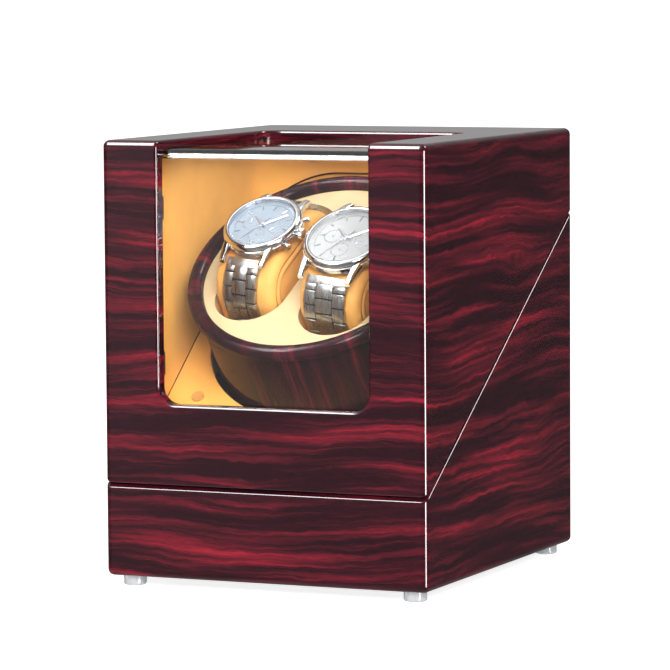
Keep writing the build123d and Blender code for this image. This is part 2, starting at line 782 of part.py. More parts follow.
def make_motor_screws():
    return [TURN * Pos(x, v, PLATE_TOP) * screw(*MOTOR_SCREW) for x, v in motor_screw_spots()]


def make_chassis_screws():
    screws = []
    for x, v in post_spots():
        shank = disc(POST_BORE - 0.1, -12.0, 0.0, x, v)
        head = disc(3.0, 0.0, 1.2, x, v)
        screws.append(TURN * (head + shank))
    return screws


# ---------- turntable ----------

def make_drum():
    drum = disc(DRUM_RADIUS, DRUM_LOW, DRUM_TOP) - disc(DRUM_BORE, DRUM_LOW + DRUM_FLOOR, DRUM_TOP + 1)
    drum = drum - disc(SHAFT_RADIUS + 0.5, DRUM_LOW - 1, DRUM_LOW + DRUM_FLOOR + 1)
    for x, y in hub_screw_spots():
        drum -= Pos(x, y, FLANGE_LOW) * FACE_DOWN * screw_hole(*HUB_SCREW)
    return SPUN * drum


def hub_screw_spots():
    radius = 14.0
    angles = (45, 135, 225, 315)
    return [(radius * cos(radians(a)), radius * sin(radians(a))) for a in angles]


def make_rim_ring():
    ring = tube(RING_RADIUS, RING_BORE, DRUM_TOP, DRUM_TOP + RING_HEIGHT)
    top = fillet(ring.edges().group_by(Axis.Z)[-1], 3.2)
    outer_low = top.edges().group_by(Axis.Z)[0].sort_by(lambda e: e.radius)[-1]
    return SPUN * fillet(outer_low, 2.6)


def stadium(length, width, low, high):
    outline = SlotOverall(length, width, rotation=90)
    return Pos(0, 0, low) * extrude(outline, high - low)


def make_face_plate():
    plate = disc(RING_BORE - 0.2, DRUM_TOP, FACE_Z)
    for side in (-1, 1):
        slot = stadium(SLOT_LENGTH, SLOT_WIDTH, DRUM_TOP - 1, FACE_Z + 1)
        plate -= Pos(side * SLOT_OFFSET, 0, 0) * slot
    return SPUN * plate


def make_slot_well(side):
    """A lined pocket that hangs under its slot in the face."""
    lip = 0.05
    outer = stadium(SLOT_LENGTH + 2 * WELL_WALL, SLOT_WIDTH + 2 * WELL_WALL, WELL_LOW, DRUM_TOP - lip)
    inner = stadium(SLOT_LENGTH, SLOT_WIDTH, WELL_LOW + WELL_WALL, DRUM_TOP + 1)
    return SPUN * Pos(side * SLOT_OFFSET, 0, 0) * (outer - inner)


def make_hub_flange():
    hub = disc(FLANGE_RADIUS, FLANGE_LOW, DRUM_LOW) + disc(BOSS_RADIUS, BOSS_LOW, DRUM_LOW)
    hub -= disc(SHAFT_RADIUS, BOSS_LOW - 1, DRUM_LOW + 1)
    for x, y in hub_screw_spots():
        hub -= Pos(x, y, FLANGE_LOW) * FACE_DOWN * screw_hole(*HUB_SCREW)
    return SPUN * hub


def make_hub_screws():
    return [SPUN * Pos(x, y, FLANGE_LOW) * FACE_DOWN * screw(*HUB_SCREW) for x, y in hub_screw_spots()]


def make_turntable_shaft():
    shaft = disc(SHAFT_RADIUS, SHAFT_LOW, DRUM_LOW + DRUM_FLOOR - 0.2)
    shaft -= tube(SHAFT_RADIUS + 1, CLIP_GROOVE, CLIP_LOW, CLIP_HIGH)
    return SPUN * shaft


def make_retaining_clip():
    clip = tube(6.0, CLIP_GROOVE + 0.02, CLIP_LOW + 0.05, CLIP_HIGH - 0.05)
    clip -= block((-1.6, 1.6), (0, 8), (CLIP_LOW - 1, CLIP_HIGH + 1))
    return SPUN * clip


# ---------- cushions and watches ----------

def wrap_profile(grow):
    """The cushion's rounded outline in the (length, height) plane, grown outwards."""
    outline = RectangleRounded(
        CUSHION_LENGTH + 2 * grow, CUSHION_HEIGHT + 2 * grow, CUSHION_ROUND + grow
    )
    return Plane.YZ * Pos(0, CUSHION_TOP - CUSHION_HEIGHT / 2) * outline


def wrap_solid(grow, width):
    return extrude(wrap_profile(grow), width / 2, both=True)


def slot_place(side):
    return SPUN * Pos(side * SLOT_OFFSET, 0, 0)


def make_cushion(side):
    cushion = wrap_solid(0, CUSHION_WIDTH)
    return slot_place(side) * fillet(cushion.edges(), 4)


def make_bracelet(side, name):
    radius, width, thickness = WATCHES[name]
    band = wrap_solid(0.1 + thickness, width) - wrap_solid(0.1, width + 2)
    reach = radius - 2.0
    band -= block((-width, width), (-reach, reach), (CUSHION_TOP - 8, CUSHION_TOP + 20))
    return slot_place(side) * (band - disc(radius + 0.1, CUSHION_TOP - 20, CUSHION_TOP + 20))


def make_watch_case(side, name):
    radius, width, _ = WATCHES[name]
    low = CUSHION_TOP + 0.1
    high = low + CASE_HEIGHT
    case = disc(radius, low, high)
    case = fillet(case.edges().group_by(Axis.Z)[-1], 1.2)
    case -= disc(radius - BEZEL, low + 4, high + 1)
    case += Pos(radius + 1.5, 0, low + 4) * Rot(Y=90) * Cylinder(CROWN_RADIUS, 4.0)
    for sx in (-1, 1):
        for sy in (-1, 1):
            x = sx * (width / 2 + 0.2 + LUG_WIDTH / 2)
            y = sorted((sy * radius * 0.7, sy * (radius + LUG_REACH)))
            lug = block((x - LUG_WIDTH / 2, x + LUG_WIDTH / 2), y, (low, low + 4.5))
            case += lug - disc(radius - BEZEL, low - 1, high + 1)
    return slot_place(side) * case


def make_watch_dial(side, name):
    radius = WATCHES[name][0] - BEZEL - 0.1
    low = CUSHION_TOP + 4.15
    dial = disc(radius, low, low + 0.8)
    for length, width, turn, lift in ((0.5, 1.6, 60, 0.8), (0.78, 1.1, -45, 1.1)):
        hand = block((-width / 2, width / 2), (-2, radius * length), (low + lift - 0.05, low + lift + 0.3))
        dial += Rot(Z=turn) * hand
    dial += disc(1.2, low + 0.7, low + 1.7)
    return slot_place(side) * dial


def make_crystal(side, name):
    radius = WATCHES[name][0] - BEZEL - 0.1
    low = CUSHION_TOP + 6.6
    high = CUSHION_TOP + CASE_HEIGHT + CRYSTAL_RISE - 0.1
    crystal = disc(radius, low, high)
    return slot_place(side) * fillet(crystal.edges().group_by(Axis.Z)[-1], 1.0)


# ---------- rear controls ----------


def make_rear_plate():
    plate = block(
        (-PANEL_WIDTH / 2, PANEL_WIDTH / 2),
        (PANEL_FACE - PANEL_THICKNESS, PANEL_FACE),
        (PANEL_Z - PANEL_HEIGHT / 2, PANEL_Z + PANEL_HEIGHT / 2),
    )
    plate -= Pos(KNOB_X, PANEL_FACE, PANEL_Z) * FACE_BACK * disc(STEM_RADIUS + 0.5, -5, 5)
    plate -= Pos(JACK_X, PANEL_FACE, PANEL_Z) * FACE_BACK * disc(JACK_RADIUS, -5, 5)
    plate -= block(
        (ROCKER_X - FRAME_HALF[0] + 1.2, ROCKER_X + FRAME_HALF[0] - 1.2),
        (PANEL_FACE - 5, PANEL_FACE + 5),
        (PANEL_Z - FRAME_HALF[1] + 1.2, PANEL_Z + FRAME_HALF[1] - 1.2),
    )
    for spot in panel_screw_spots():
        plate -= Pos(*spot) * FACE_BACK * screw_hole(*PANEL_SCREW)
    return plate


def make_rocker_frame():
    """Bezel on the plate with an open-fronted switch body behind it."""
    half_x, half_z = FRAME_HALF
    room_x = ROCKER_HALF[0] + 0.4
    room_z = ROCKER_HALF[1] + ROCKER_ROOM
    flange = block(
        (ROCKER_X - half_x, ROCKER_X + half_x),
        (PANEL_FACE, PANEL_FACE + 1.2),
        (PANEL_Z - half_z, PANEL_Z + half_z),
    )
    body = block(
        (ROCKER_X - half_x + 1.25, ROCKER_X + half_x - 1.25),
        (PANEL_FACE - 12, PANEL_FACE + 0.1),
        (PANEL_Z - half_z + 1.25, PANEL_Z + half_z - 1.25),
    )
    room = block(
        (ROCKER_X - room_x, ROCKER_X + room_x),
        (PANEL_FACE - 9, PANEL_FACE + 5),
        (PANEL_Z - room_z, PANEL_Z + room_z),
    )
    frame = flange + body - room
    for z in (-3.0, 3.0):
        blade_x = (ROCKER_X - 0.4, ROCKER_X + 0.4)
        frame += block(blade_x, (PANEL_FACE - 17, PANEL_FACE - 12), (PANEL_Z + z - 1, PANEL_Z + z + 1))
    return frame


def make_rocker():
    """Two-faced paddle, pressed in at its lower half at rest."""
    half_x, half_z = ROCKER_HALF
    y = ROCKER_PIVOT_Y
    outline = (
        (y - 3.0, PANEL_Z - half_z * 0.55),
        (y + 4.2, PANEL_Z - half_z),
        (y + 3.4, PANEL_Z),
        (y + 4.2, PANEL_Z + half_z),
        (y - 3.0, PANEL_Z + half_z * 0.55),
    )
    paddle = Pos(ROCKER_X, 0, 0) * side_prism(half_x, *outline)
    turn = Pos(0, y, PANEL_Z) * Rot(X=ROCKER_TILT) * Pos(0, -y, -PANEL_Z)
    return turn * paddle


def make_mode_knob():
    knob = disc(KNOB_RADIUS, 0.4, KNOB_HEIGHT)
    knob = fillet(knob.edges().group_by(Axis.Z)[-1], 0.8)
    for index in range(18):
        rib = disc(0.7, -1, KNOB_HEIGHT - 1.2, KNOB_RADIUS + 0.2, 0)
        knob -= Rot(Z=index * 20) * rib
    knob -= block((-0.5, 0.5), (2.0, KNOB_RADIUS - 0.6), (KNOB_HEIGHT - 0.5, KNOB_HEIGHT + 1))
    knob += disc(STEM_RADIUS, -7.0, 0.5)
    return Pos(KNOB_X, PANEL_FACE, PANEL_Z) * FACE_BACK * knob


def make_mode_switch():
    body = block((-7, 7), (-7, 7), (-11, -PANEL_THICKNESS))
    body -= disc(STEM_RADIUS + 0.1, -7.4, 1)
    body += block((-5, 5), (-0.5, 0.5), (-15, -11))
    return Pos(KNOB_X, PANEL_FACE, PANEL_Z) * FACE_BACK * body


def make_power_jack():
    collar = disc(JACK_RADIUS + 1.6, 0, 1.4) + disc(JACK_RADIUS - 0.05, -4, 1.4)
    body = block((-6, 6), (-6, 6), (-14, -4))
    jack = collar + body - disc(JACK_BORE, -10, 3)
    jack += disc(1.0, -10.5, -0.5)
    return Pos(JACK_X, PANEL_FACE, PANEL_Z) * FACE_BACK * jack


def make_plate_screws():
    return [Pos(*spot) * FACE_BACK * screw(*PANEL_SCREW) for spot in panel_screw_spots()]


# ---------- electronics ----------


def board_spots():
    xs = (BOARD_X[0] + BOARD_SCREW_INSET, BOARD_X[1] - BOARD_SCREW_INSET)
    ys = (BOARD_Y[0] + BOARD_SCREW_INSET, BOARD_Y[1] - BOARD_SCREW_INSET)
    return [(x, y) for x in xs for y in ys]


def make_control_board():
    board = block(BOARD_X, BOARD_Y, (BOARD_Z, BOARD_Z + BOARD_THICKNESS))
    for x, y in board_spots():
        board -= disc(1.3, BOARD_Z - 1, BOARD_Z + 5, x, y)
    top = BOARD_Z + BOARD_THICKNESS
    board += block((-32, -18), (BODY_Y + 32, BODY_Y + 42), (top, top + 2.2))
    board += block((-46, -38), (BODY_Y + 31, BODY_Y + 43), (top, top + CHIP_HEIGHT))
    board += block((-8, 1), (BODY_Y + 32, BODY_Y + 44), (top, top + CHIP_HEIGHT))
    board += disc(4.0, top, top + 9, -13, BODY_Y + 48)
    return board


def make_board_posts():
    posts = []
    for x, y in board_spots():
        post = disc(2.6, PANEL_FLOOR, BOARD_Z, x, y) + disc(1.2, BOARD_Z - 1, BOARD_Z + 3, x, y)
        posts.append(post + disc(2.3, BOARD_Z + BOARD_THICKNESS, BOARD_Z + BOARD_THICKNESS + 1.4, x, y))
    return posts


def bend_radii(points):
    """The largest even bends: 0.45 of the shorter run over the tangent of half the turn."""
    radii = []
    for before, here, after in zip(points, points[1:], points[2:]):
        run_in = Vector(*here) - Vector(*before)
        run_out = Vector(*after) - Vector(*here)
        half_turn = radians(run_in.get_angle(run_out)) / 2
        radii.append(0.45 * min(run_in.length, run_out.length) / tan(half_turn))
    return radii


def lead(*points):
    radii = bend_radii(points)
    print("lead bends in mm:", [round(radius, 1) for radius in radii])
    path = FilletPolyline(*points, radius=radii)
    start = Plane(origin=path @ 0, z_dir=path % 0)
    return sweep(start * Circle(LEAD_RADIUS), path=path)


def make_motor_lead():
    """Runs from the motor's rear cap to the board's left connector."""
    end = TURN * Pos(MOTOR_X, MOTOR_V, PLATE_LOW - MOTOR_LENGTH - 2)
    out = TURN * Pos(MOTOR_X, MOTOR_V, PLATE_LOW - MOTOR_LENGTH - 14)
    top = BOARD_Z + BOARD_THICKNESS + CHIP_HEIGHT
    plug_y = BODY_Y + 37
    return lead(
        tuple(end.position),
        tuple(out.position),
        (-42, BODY_Y + 12, top + 12),
        (-42, plug_y - 6, top + 14),
        (-42, plug_y, top + 9),
        (-42, plug_y, top),
    )


def make_power_lead():
    """Runs from the power socket's rear to the board's right connector."""
    top = BOARD_Z + BOARD_THICKNESS + CHIP_HEIGHT
    back = PANEL_FACE - 14
    return lead(
        (JACK_X, back, PANEL_Z),
        (JACK_X, back - 10, PANEL_Z),
        (JACK_X - 10, back - 22, PANEL_Z - 4),
        (-4, BODY_Y + 42, PANEL_Z - 10),
        (-4, BODY_Y + 38, top + 12),
        (-4, BODY_Y + 38, top),
    )


# ---------- write every node ----------

save("base_case", make_base_case())
save("bottom_panel", make_bottom_panel())
save("bottom_screws", *[Pos(*spot) * FACE_DOWN * screw(*BOTTOM_SCREW) for spot in bottom_screw_spots()])
save("feet", *make_feet())
save("rim_gasket", make_rim_gasket())
save("base_magnets", *magnet(-MAGNET_DEPTH, -0.1))
save("deck_tray", make_deck_tray())

save("lid_shell", make_lid_shell())
save("window", make_window())
save("window_cleats", *make_cleats())
save("cleat_screws", *make_cleat_screws())
save("lid_liner", make_lid_liner())
save("lid_magnets", *magnet(square_gap() + 0.1, square_gap() + MAGNET_DEPTH))
make_hinges()

save("drive_chassis", make_drive_chassis())
save("chassis_screws", *make_chassis_screws())
save("idler_pin", make_idler_pin())
save("upper_bush", make_upper_bush())
save("lower_bush", make_lower_bush())
save("gear_motor", make_gear_motor())
save("motor_screws", *make_motor_screws())
save("drive_belt", make_drive_belt())
save("idler", make_idler())
save("motor_pulley", make_motor_pulley())
save("motor_shaft", make_motor_shaft())

save("drum", make_drum())
save("rim_ring", make_rim_ring())
save("face_plate", make_face_plate())
save("hub_flange", make_hub_flange())
save("hub_screws", *make_hub_screws())
save("turntable_shaft", make_turntable_shaft())
save("retaining_clip", make_retaining_clip())
save("output_gear", make_output_gear())
for place_name, place_side in (("left", -1), ("right", 1)):
    save(f"slot_well_{place_name}", make_slot_well(place_side))
    save(f"cushion_{place_name}", make_cushion(place_side))
    save(f"watch_{place_name}_case", make_watch_case(place_side, place_name))
    save(f"watch_{place_name}_dial", make_watch_dial(place_side, place_name))
    save(f"watch_{place_name}_crystal", make_crystal(place_side, place_name))
    save(f"watch_{place_name}_bracelet", make_bracelet(place_side, place_name))

save("rear_plate", make_rear_plate())
save("plate_screws", *make_plate_screws())
save("rocker_frame", make_rocker_frame())
save("rocker", make_rocker())
save("mode_switch", make_mode_switch())
save("mode_knob", make_mode_knob())
save("power_jack", make_power_jack())
save("control_board", make_control_board())
save("board_posts", *make_board_posts())
save("motor_lead", make_motor_lead())
save("power_lead", make_power_lead())
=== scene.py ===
"""The looks of the watch winder box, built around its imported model."""

import json
import math

import bmesh
import bpy
from mathutils import Euler, Matrix, Quaternion, Vector


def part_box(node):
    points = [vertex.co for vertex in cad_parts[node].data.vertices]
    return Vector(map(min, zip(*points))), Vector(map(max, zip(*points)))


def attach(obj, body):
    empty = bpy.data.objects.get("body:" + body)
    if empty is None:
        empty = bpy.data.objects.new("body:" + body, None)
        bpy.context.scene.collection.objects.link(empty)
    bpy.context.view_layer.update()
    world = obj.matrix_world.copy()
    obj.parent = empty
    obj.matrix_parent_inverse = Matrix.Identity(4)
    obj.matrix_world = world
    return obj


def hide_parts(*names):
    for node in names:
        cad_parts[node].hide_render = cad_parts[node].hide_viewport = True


MM = 0.001

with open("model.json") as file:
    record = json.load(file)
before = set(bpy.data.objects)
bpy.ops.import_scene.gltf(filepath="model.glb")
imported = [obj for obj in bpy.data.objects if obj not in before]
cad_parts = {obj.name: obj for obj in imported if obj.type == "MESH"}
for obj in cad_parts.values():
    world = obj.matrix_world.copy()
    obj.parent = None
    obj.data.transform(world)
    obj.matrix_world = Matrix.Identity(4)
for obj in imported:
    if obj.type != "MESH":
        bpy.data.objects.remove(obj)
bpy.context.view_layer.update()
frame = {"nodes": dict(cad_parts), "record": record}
NODES = frame["nodes"]
JOINTS = {joint["name"]: joint for joint in frame["record"]["behaviour"]["joints"]}

# The middle of the body's depth, at the height of the case's lower edge
LID_LOW, LID_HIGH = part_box("lid_shell")
BODY_MIDDLE = Vector((0, (LID_LOW.y + LID_HIGH.y) / 2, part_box("base_case")[0].z))

# The turntable's own frame: Z along its axis, origin where the axis meets the deck
SPIN = JOINTS["turntable_spin"]
SPIN_AXIS = Vector(SPIN["axis"]).normalized()
SPIN_SIDE = Vector((1, 0, 0))
REST_TURN = math.radians(-10)
TURN = Matrix.Translation(Vector(SPIN["pos_m"])) @ Matrix(
    (SPIN_SIDE, SPIN_AXIS.cross(SPIN_SIDE), SPIN_AXIS)
).transposed().to_4x4() @ Matrix.Rotation(REST_TURN, 4, "Z")

# Heights and sizes on the turntable, along its axis
FACE_HEIGHT = 37.5 * MM
SLOT_OFFSET = 23 * MM
CUSHION_TOP = FACE_HEIGHT + 17 * MM
CUSHION_LENGTH = 62 * MM
CUSHION_HEIGHT = 44 * MM
CUSHION_ROUND = 19 * MM
CUSHION_WIDTH = 32 * MM
SIDES = {"left": -1, "right": 1}
WATCHES = {
    "left": {"radius": 19 * MM, "band": 18 * MM, "thick": 3.0 * MM, "dial": "ice", "slot": "blue"},
    "right": {"radius": 21 * MM, "band": 22 * MM, "thick": 2.9 * MM, "dial": "silver", "slot": "silver"},
}


# ---------- camera, light and floor ----------

CAMERA_FROM_BODY = Vector((0.7911, -1.7892, 0.2815))
CAMERA_YAW = math.radians(23.974)
CAMERA_PITCH = math.radians(-5.139)
CAMERA_ROLL = math.radians(-0.396)
CAMERA_LENS = 224.8
CAMERA_SENSOR = 36


def make_camera():
    """A long lens, low and to the right of the front."""
    data = bpy.data.cameras.new("camera")
    data.lens = CAMERA_LENS
    data.sensor_width = CAMERA_SENSOR
    data.clip_start = 0.01
    camera = bpy.data.objects.new("camera", data)
    bpy.context.collection.objects.link(camera)
    camera.location = BODY_MIDDLE + CAMERA_FROM_BODY
    turn = Euler((math.radians(90) + CAMERA_PITCH, 0, CAMERA_YAW)).to_quaternion()
    camera.rotation_mode = "QUATERNION"
    camera.rotation_quaternion = turn @ Quaternion((0, 0, 1), CAMERA_ROLL)
    bpy.context.scene.camera = camera


LAMP_AIM = BODY_MIDDLE + Vector((0, 0, 0.11))
# name: (place, (width, height), radiance, aim)
LAMPS = {
    "key": ((0.95, -1.7, 0.95), (1.0, 0.8), 20, LAMP_AIM),
    "top": ((0.0, -0.1, 1.5), (1.0, 0.8), 1.2, LAMP_AIM),
    # Held under the lid's roof, out of sight, for the lining at the back
    "rear": ((0.045, 0.010, 0.192), (0.04, 0.03), 2.5, Vector((0.0, 0.085, 0.17))),
}


def make_lamp(name, place, size, radiance, aim):
    """A soft lamp that doesn't show in the lacquer."""
    data = bpy.data.lights.new(name, "AREA")
    data.shape = "RECTANGLE"
    data.size, data.size_y = size
    data.energy = radiance * math.pi * size[0] * size[1]
    lamp = bpy.data.objects.new(name, data)
    bpy.context.collection.objects.link(lamp)
    lamp.location = place
    lamp.rotation_euler = (aim - lamp.location).to_track_quat("-Z", "Y").to_euler()
    lamp.visible_camera = False
    lamp.visible_glossy = False


# What the glossy surfaces see: (direction, sharpness, radiance)
REFLECTED = (
    ((-0.403, -0.720, 0.565), 120, 45.0),
    ((-0.403, -0.420, 0.813), 120, 45.0),
    ((-0.40, -0.58, 0.71), 9, 2.2),
    ((-0.40, 0.15, 0.90), 4, 0.8),
    ((0.905, -0.415, -0.090), 120, 50.0),
    ((0.58, 0.376, 0.722), 120, 40.0),
    ((-0.52, -0.855, 0.0), 90, 0.55),
    ((-0.40, 0.91, 0.12), 14, 0.32),
    ((0.10, 0.72, 0.69), 9, 0.35),
    ((0.0, 0.0, -1.0), 1.2, 0.4),
)
REFLECTED_BASE = 0.065
# A darker field in that base: its direction, its sharpness, and how much it takes away
DARK_FIELD = ((0.42, 0.90, -0.10), 5)
DARK_SHARE = 0.4
# How bright the world is to rays that aren't reflected, and to the camera
AMBIENT = 0.45
BACKDROP = 1.02


def make_world():
    """White to the camera, even light on everything, and bright fields for the glossy surfaces."""
    world = bpy.data.worlds.new("studio")
    bpy.context.scene.world = world
    world.use_nodes = True
    tree = world.node_tree
    tree.nodes.clear()
    place = tree.nodes.new("ShaderNodeTexCoord").outputs["Generated"]
    unit = tree.nodes.new("ShaderNodeVectorMath")
    unit.operation = "NORMALIZE"
    tree.links.new(place, unit.inputs[0])

    def math_node(operation, first, second):
        made = tree.nodes.new("ShaderNodeMath")
        made.operation = operation
        for socket, value in zip(made.inputs, (first, second)):
            if isinstance(value, bpy.types.NodeSocket):
                tree.links.new(value, socket)
            else:
                socket.default_value = value
        return made.outputs[0]

    def lobe(direction, sharpness):
        dot = tree.nodes.new("ShaderNodeVectorMath")
        dot.operation = "DOT_PRODUCT"
        tree.links.new(unit.outputs[0], dot.inputs[0])
        dot.inputs[1].default_value = Vector(direction).normalized()
        return math_node("POWER", math_node("MAXIMUM", dot.outputs["Value"], 0.0), sharpness)

    dark = math_node("SUBTRACT", 1.0, math_node("MULTIPLY", lobe(*DARK_FIELD), DARK_SHARE))
    total = math_node("MULTIPLY", dark, REFLECTED_BASE)
    for direction, sharpness, radiance in REFLECTED:
        total = math_node("ADD", total, math_node("MULTIPLY", lobe(direction, sharpness), radiance))
    path = tree.nodes.new("ShaderNodeLightPath")
    glossy = path.outputs["Is Glossy Ray"]
    off_gloss = math_node("MULTIPLY", math_node("SUBTRACT", 1.0, glossy), AMBIENT)
    level = math_node("ADD", math_node("MULTIPLY", glossy, total), off_gloss)
    lit = tree.nodes.new("ShaderNodeBackground")
    tree.links.new(level, lit.inputs["Strength"])
    seen = tree.nodes.new("ShaderNodeBackground")
    seen.inputs["Strength"].default_value = BACKDROP
    mix = tree.nodes.new("ShaderNodeMixShader")
    out = tree.nodes.new("ShaderNodeOutputWorld")
    lit.inputs["Color"].default_value = (1, 1, 1, 1)
    seen.inputs["Color"].default_value = (1, 1, 1, 1)
    tree.links.new(path.outputs["Is Camera Ray"], mix.inputs["Fac"])
    tree.links.new(lit.outputs[0], mix.inputs[1])
    tree.links.new(seen.outputs[0], mix.inputs[2])
    tree.links.new(mix.outputs[0], out.inputs["Surface"])


FLOOR_SIZE = 30
FLOOR_GLOW = 0.82
FLOOR_TONES = ((0.3, (0.94, 0.94, 0.945)), (0.7, (0.96, 0.96, 0.96)))


def make_floor():
    """White paper, nearly as bright as the backdrop, that reflections and glass don't show."""
    bpy.ops.mesh.primitive_plane_add(size=FLOOR_SIZE, location=(0, 0, 0))
    floor = bpy.context.object
    floor.name = "floor"
    floor.visible_glossy = False
    floor.visible_transmission = False
    paper = Material("floor_paper")
    paper.link(paper.ramp(paper.noise(paper.place()[0], 0.7, 1), *FLOOR_TONES), "Base Color")
    paper.put("Roughness", 0.9)
    paper.put("Specular IOR Level", 0)
    paper.put("Emission Color", (1, 1, 1, 1))
    paper.put("Emission Strength", FLOOR_GLOW)
    floor.data.materials.append(paper.made)


# ---------- node helpers ----------


class Material:
    """A material with one Principled shader, and short ways to add nodes to it."""

    def __init__(self, name):
        self.made = bpy.data.materials.new(name)
        self.made.use_nodes = True
        self.tree = self.made.node_tree
        self.shader = self.tree.nodes["Principled BSDF"]
        self.output = self.tree.nodes["Material Output"]

    def put(self, socket, value):
        self.shader.inputs[socket].default_value = value

    def link(self, value, socket):
        self.tree.links.new(value, self.shader.inputs[socket])

    def fill(self, sockets, values):
        for socket, value in zip(sockets, values):
            if isinstance(value, bpy.types.NodeSocket):
                self.tree.links.new(value, socket)
            elif value is not None:
                socket.default_value = value

    def math(self, operation, first, second=0.0):
        made = self.tree.nodes.new("ShaderNodeMath")
        made.operation = operation
        self.fill(made.inputs, (first, second))
        return made.outputs[0]

    def add(self, first, second):
        return self.math("ADD", first, second)

    def times(self, first, second):
        return self.math("MULTIPLY", first, second)

    def join(self, x, y, z):
        made = self.tree.nodes.new("ShaderNodeCombineXYZ")
        self.fill(made.inputs, (x, y, z))
        return made.outputs[0]

    def split(self, vector):
        made = self.tree.nodes.new("ShaderNodeSeparateXYZ")
        self.tree.links.new(vector, made.inputs[0])
        return made.outputs["X"], made.outputs["Y"], made.outputs["Z"]

    def noise(self, vector, scale, detail, roughness=0.5):
        made = self.tree.nodes.new("ShaderNodeTexNoise")
        self.tree.links.new(vector, made.inputs["Vector"])
        made.inputs["Scale"].default_value = scale
        made.inputs["Detail"].default_value = detail
        made.inputs["Roughness"].default_value = roughness
        return made.outputs["Fac"]

    def ramp(self, fac, *stops):
        """stops are (position, (r, g, b)) pairs, lowest first."""
        made = self.tree.nodes.new("ShaderNodeValToRGB")
        elements = made.color_ramp.elements
        while len(elements) < len(stops):
            elements.new(0.5)
        for element, (position, color) in zip(elements, stops):
            element.position = position
            element.color = (*color, 1)
        self.tree.links.new(fac, made.inputs["Fac"])
        return made.outputs["Color"]

    def spread(self, fac, low, high, to_low, to_high):
        made = self.tree.nodes.new("ShaderNodeMapRange")
        self.fill(made.inputs, (fac, low, high, to_low, to_high))
        return made.outputs[0]

    def tinted(self, color, shade):
        """A color multiplied by a single value."""
        made = self.tree.nodes.new("ShaderNodeMix")
        made.data_type = "RGBA"
        made.blend_type = "MULTIPLY"
        made.inputs[0].default_value = 1.0
        self.tree.links.new(color, made.inputs[6])
        self.tree.links.new(self.join(shade, shade, shade), made.inputs[7])
        return made.outputs[2]

    def bump(self, height, distance, strength):
        made = self.tree.nodes.new("ShaderNodeBump")
        made.inputs["Distance"].default_value = distance
        made.inputs["Strength"].default_value = strength
        self.tree.links.new(height, made.inputs["Height"])
        self.tree.links.new(made.outputs[0], self.shader.inputs["Normal"])

    def place(self):
        """The point in the object's own space, and its X, Y and Z."""
        point = self.tree.nodes.new("ShaderNodeTexCoord").outputs["Object"]
        return (point, *self.split(point))

    def turned_place(self):
        """The point in the turntable's frame: Z along its axis."""
        point = self.tree.nodes.new("ShaderNodeTexCoord").outputs["Object"]
        made = self.tree.nodes.new("ShaderNodeMapping")
        made.vector_type = "TEXTURE"
        made.inputs["Location"].default_value = TURN.to_translation()
        made.inputs["Rotation"].default_value = TURN.to_euler()
        self.tree.links.new(point, made.inputs["Vector"])
        return (made.outputs[0], *self.split(made.outputs[0]))


# ---------- materials ----------

DARK = (0.0155, 0.0030, 0.0056)
MAROON = (0.033, 0.0042, 0.0080)
DEEP_RED = (0.066, 0.0060, 0.0115)
RED = (0.138, 0.0080, 0.0165)
BRIGHT_RED = (0.225, 0.0110, 0.0230)

# The knot on the sides, as (y, z), and its squeeze along the grain
KNOT_PLACE = (0.015, 0.146)
KNOT_RADIUS = 9 * MM
KNOT_STRETCH = 0.3

# How the streaks slope on the sides, and how they are spread and shifted on the top
SIDE_SLOPE = -0.02
TOP_SPREAD = 0.9
TOP_SHIFT = 0.5

# Where on the noise, from 0 to 1, each color of the streaks lies
STREAK_LEVELS = ((0.44, DARK), (0.50, MAROON), (0.55, DEEP_RED), (0.61, RED), (0.68, BRIGHT_RED))
STREAK_SWAY = 0.020
STREAK_SHIVER = 0.0032
BROAD_SHARE = 0.62


def streak_color(made, across, along, bend=1.0, shift=0.0):
    """Ebony streaks: thin in the across coordinate, long in the along one. Both are in metres."""

    def grain(level, per_along, per_across, slice_at, detail, roughness=0.5):
        """Noise with its own scale in each direction, taken at one slice of its third."""
        place = made.join(made.times(along, per_along), made.times(level, per_across), slice_at)
        return made.noise(place, 1, detail, roughness)

    low = grain(across, 9, 14, 0.0, 1.0)
    jag = grain(across, 85, 160, 3.0, 2.0)
    sway = made.times(made.math("SUBTRACT", low, 0.5), STREAK_SWAY * bend)
    shiver = made.times(made.math("SUBTRACT", jag, 0.5), STREAK_SHIVER)
    bent = made.add(across, made.add(sway, shiver))
    broad = grain(bent, 6, 112, 7.0, 2.5, 0.55)
    thin = grain(bent, 12, 390, 1.0, 3.0, 0.6)
    fibre = grain(bent, 170, 2300, 5.0, 3.0, 0.65)
    streak = made.add(made.times(broad, BROAD_SHARE), made.times(thin, 1 - BROAD_SHARE))
    stops = [(level + shift, color) for level, color in STREAK_LEVELS]
    return made.tinted(made.ramp(streak, *stops), made.spread(fibre, 0.3, 0.7, 0.62, 1.25))


def lacquer(made, color, coat):
    """A dull color under a clear gloss; coat is how much of it there is."""
    made.link(color, "Base Color")
    made.put("Roughness", 0.5)
    made.put("Specular IOR Level", 0.0)
    made.put("Coat Weight", coat)
    made.put("Coat Roughness", 0.018)
    made.put("Coat IOR", 1.5)


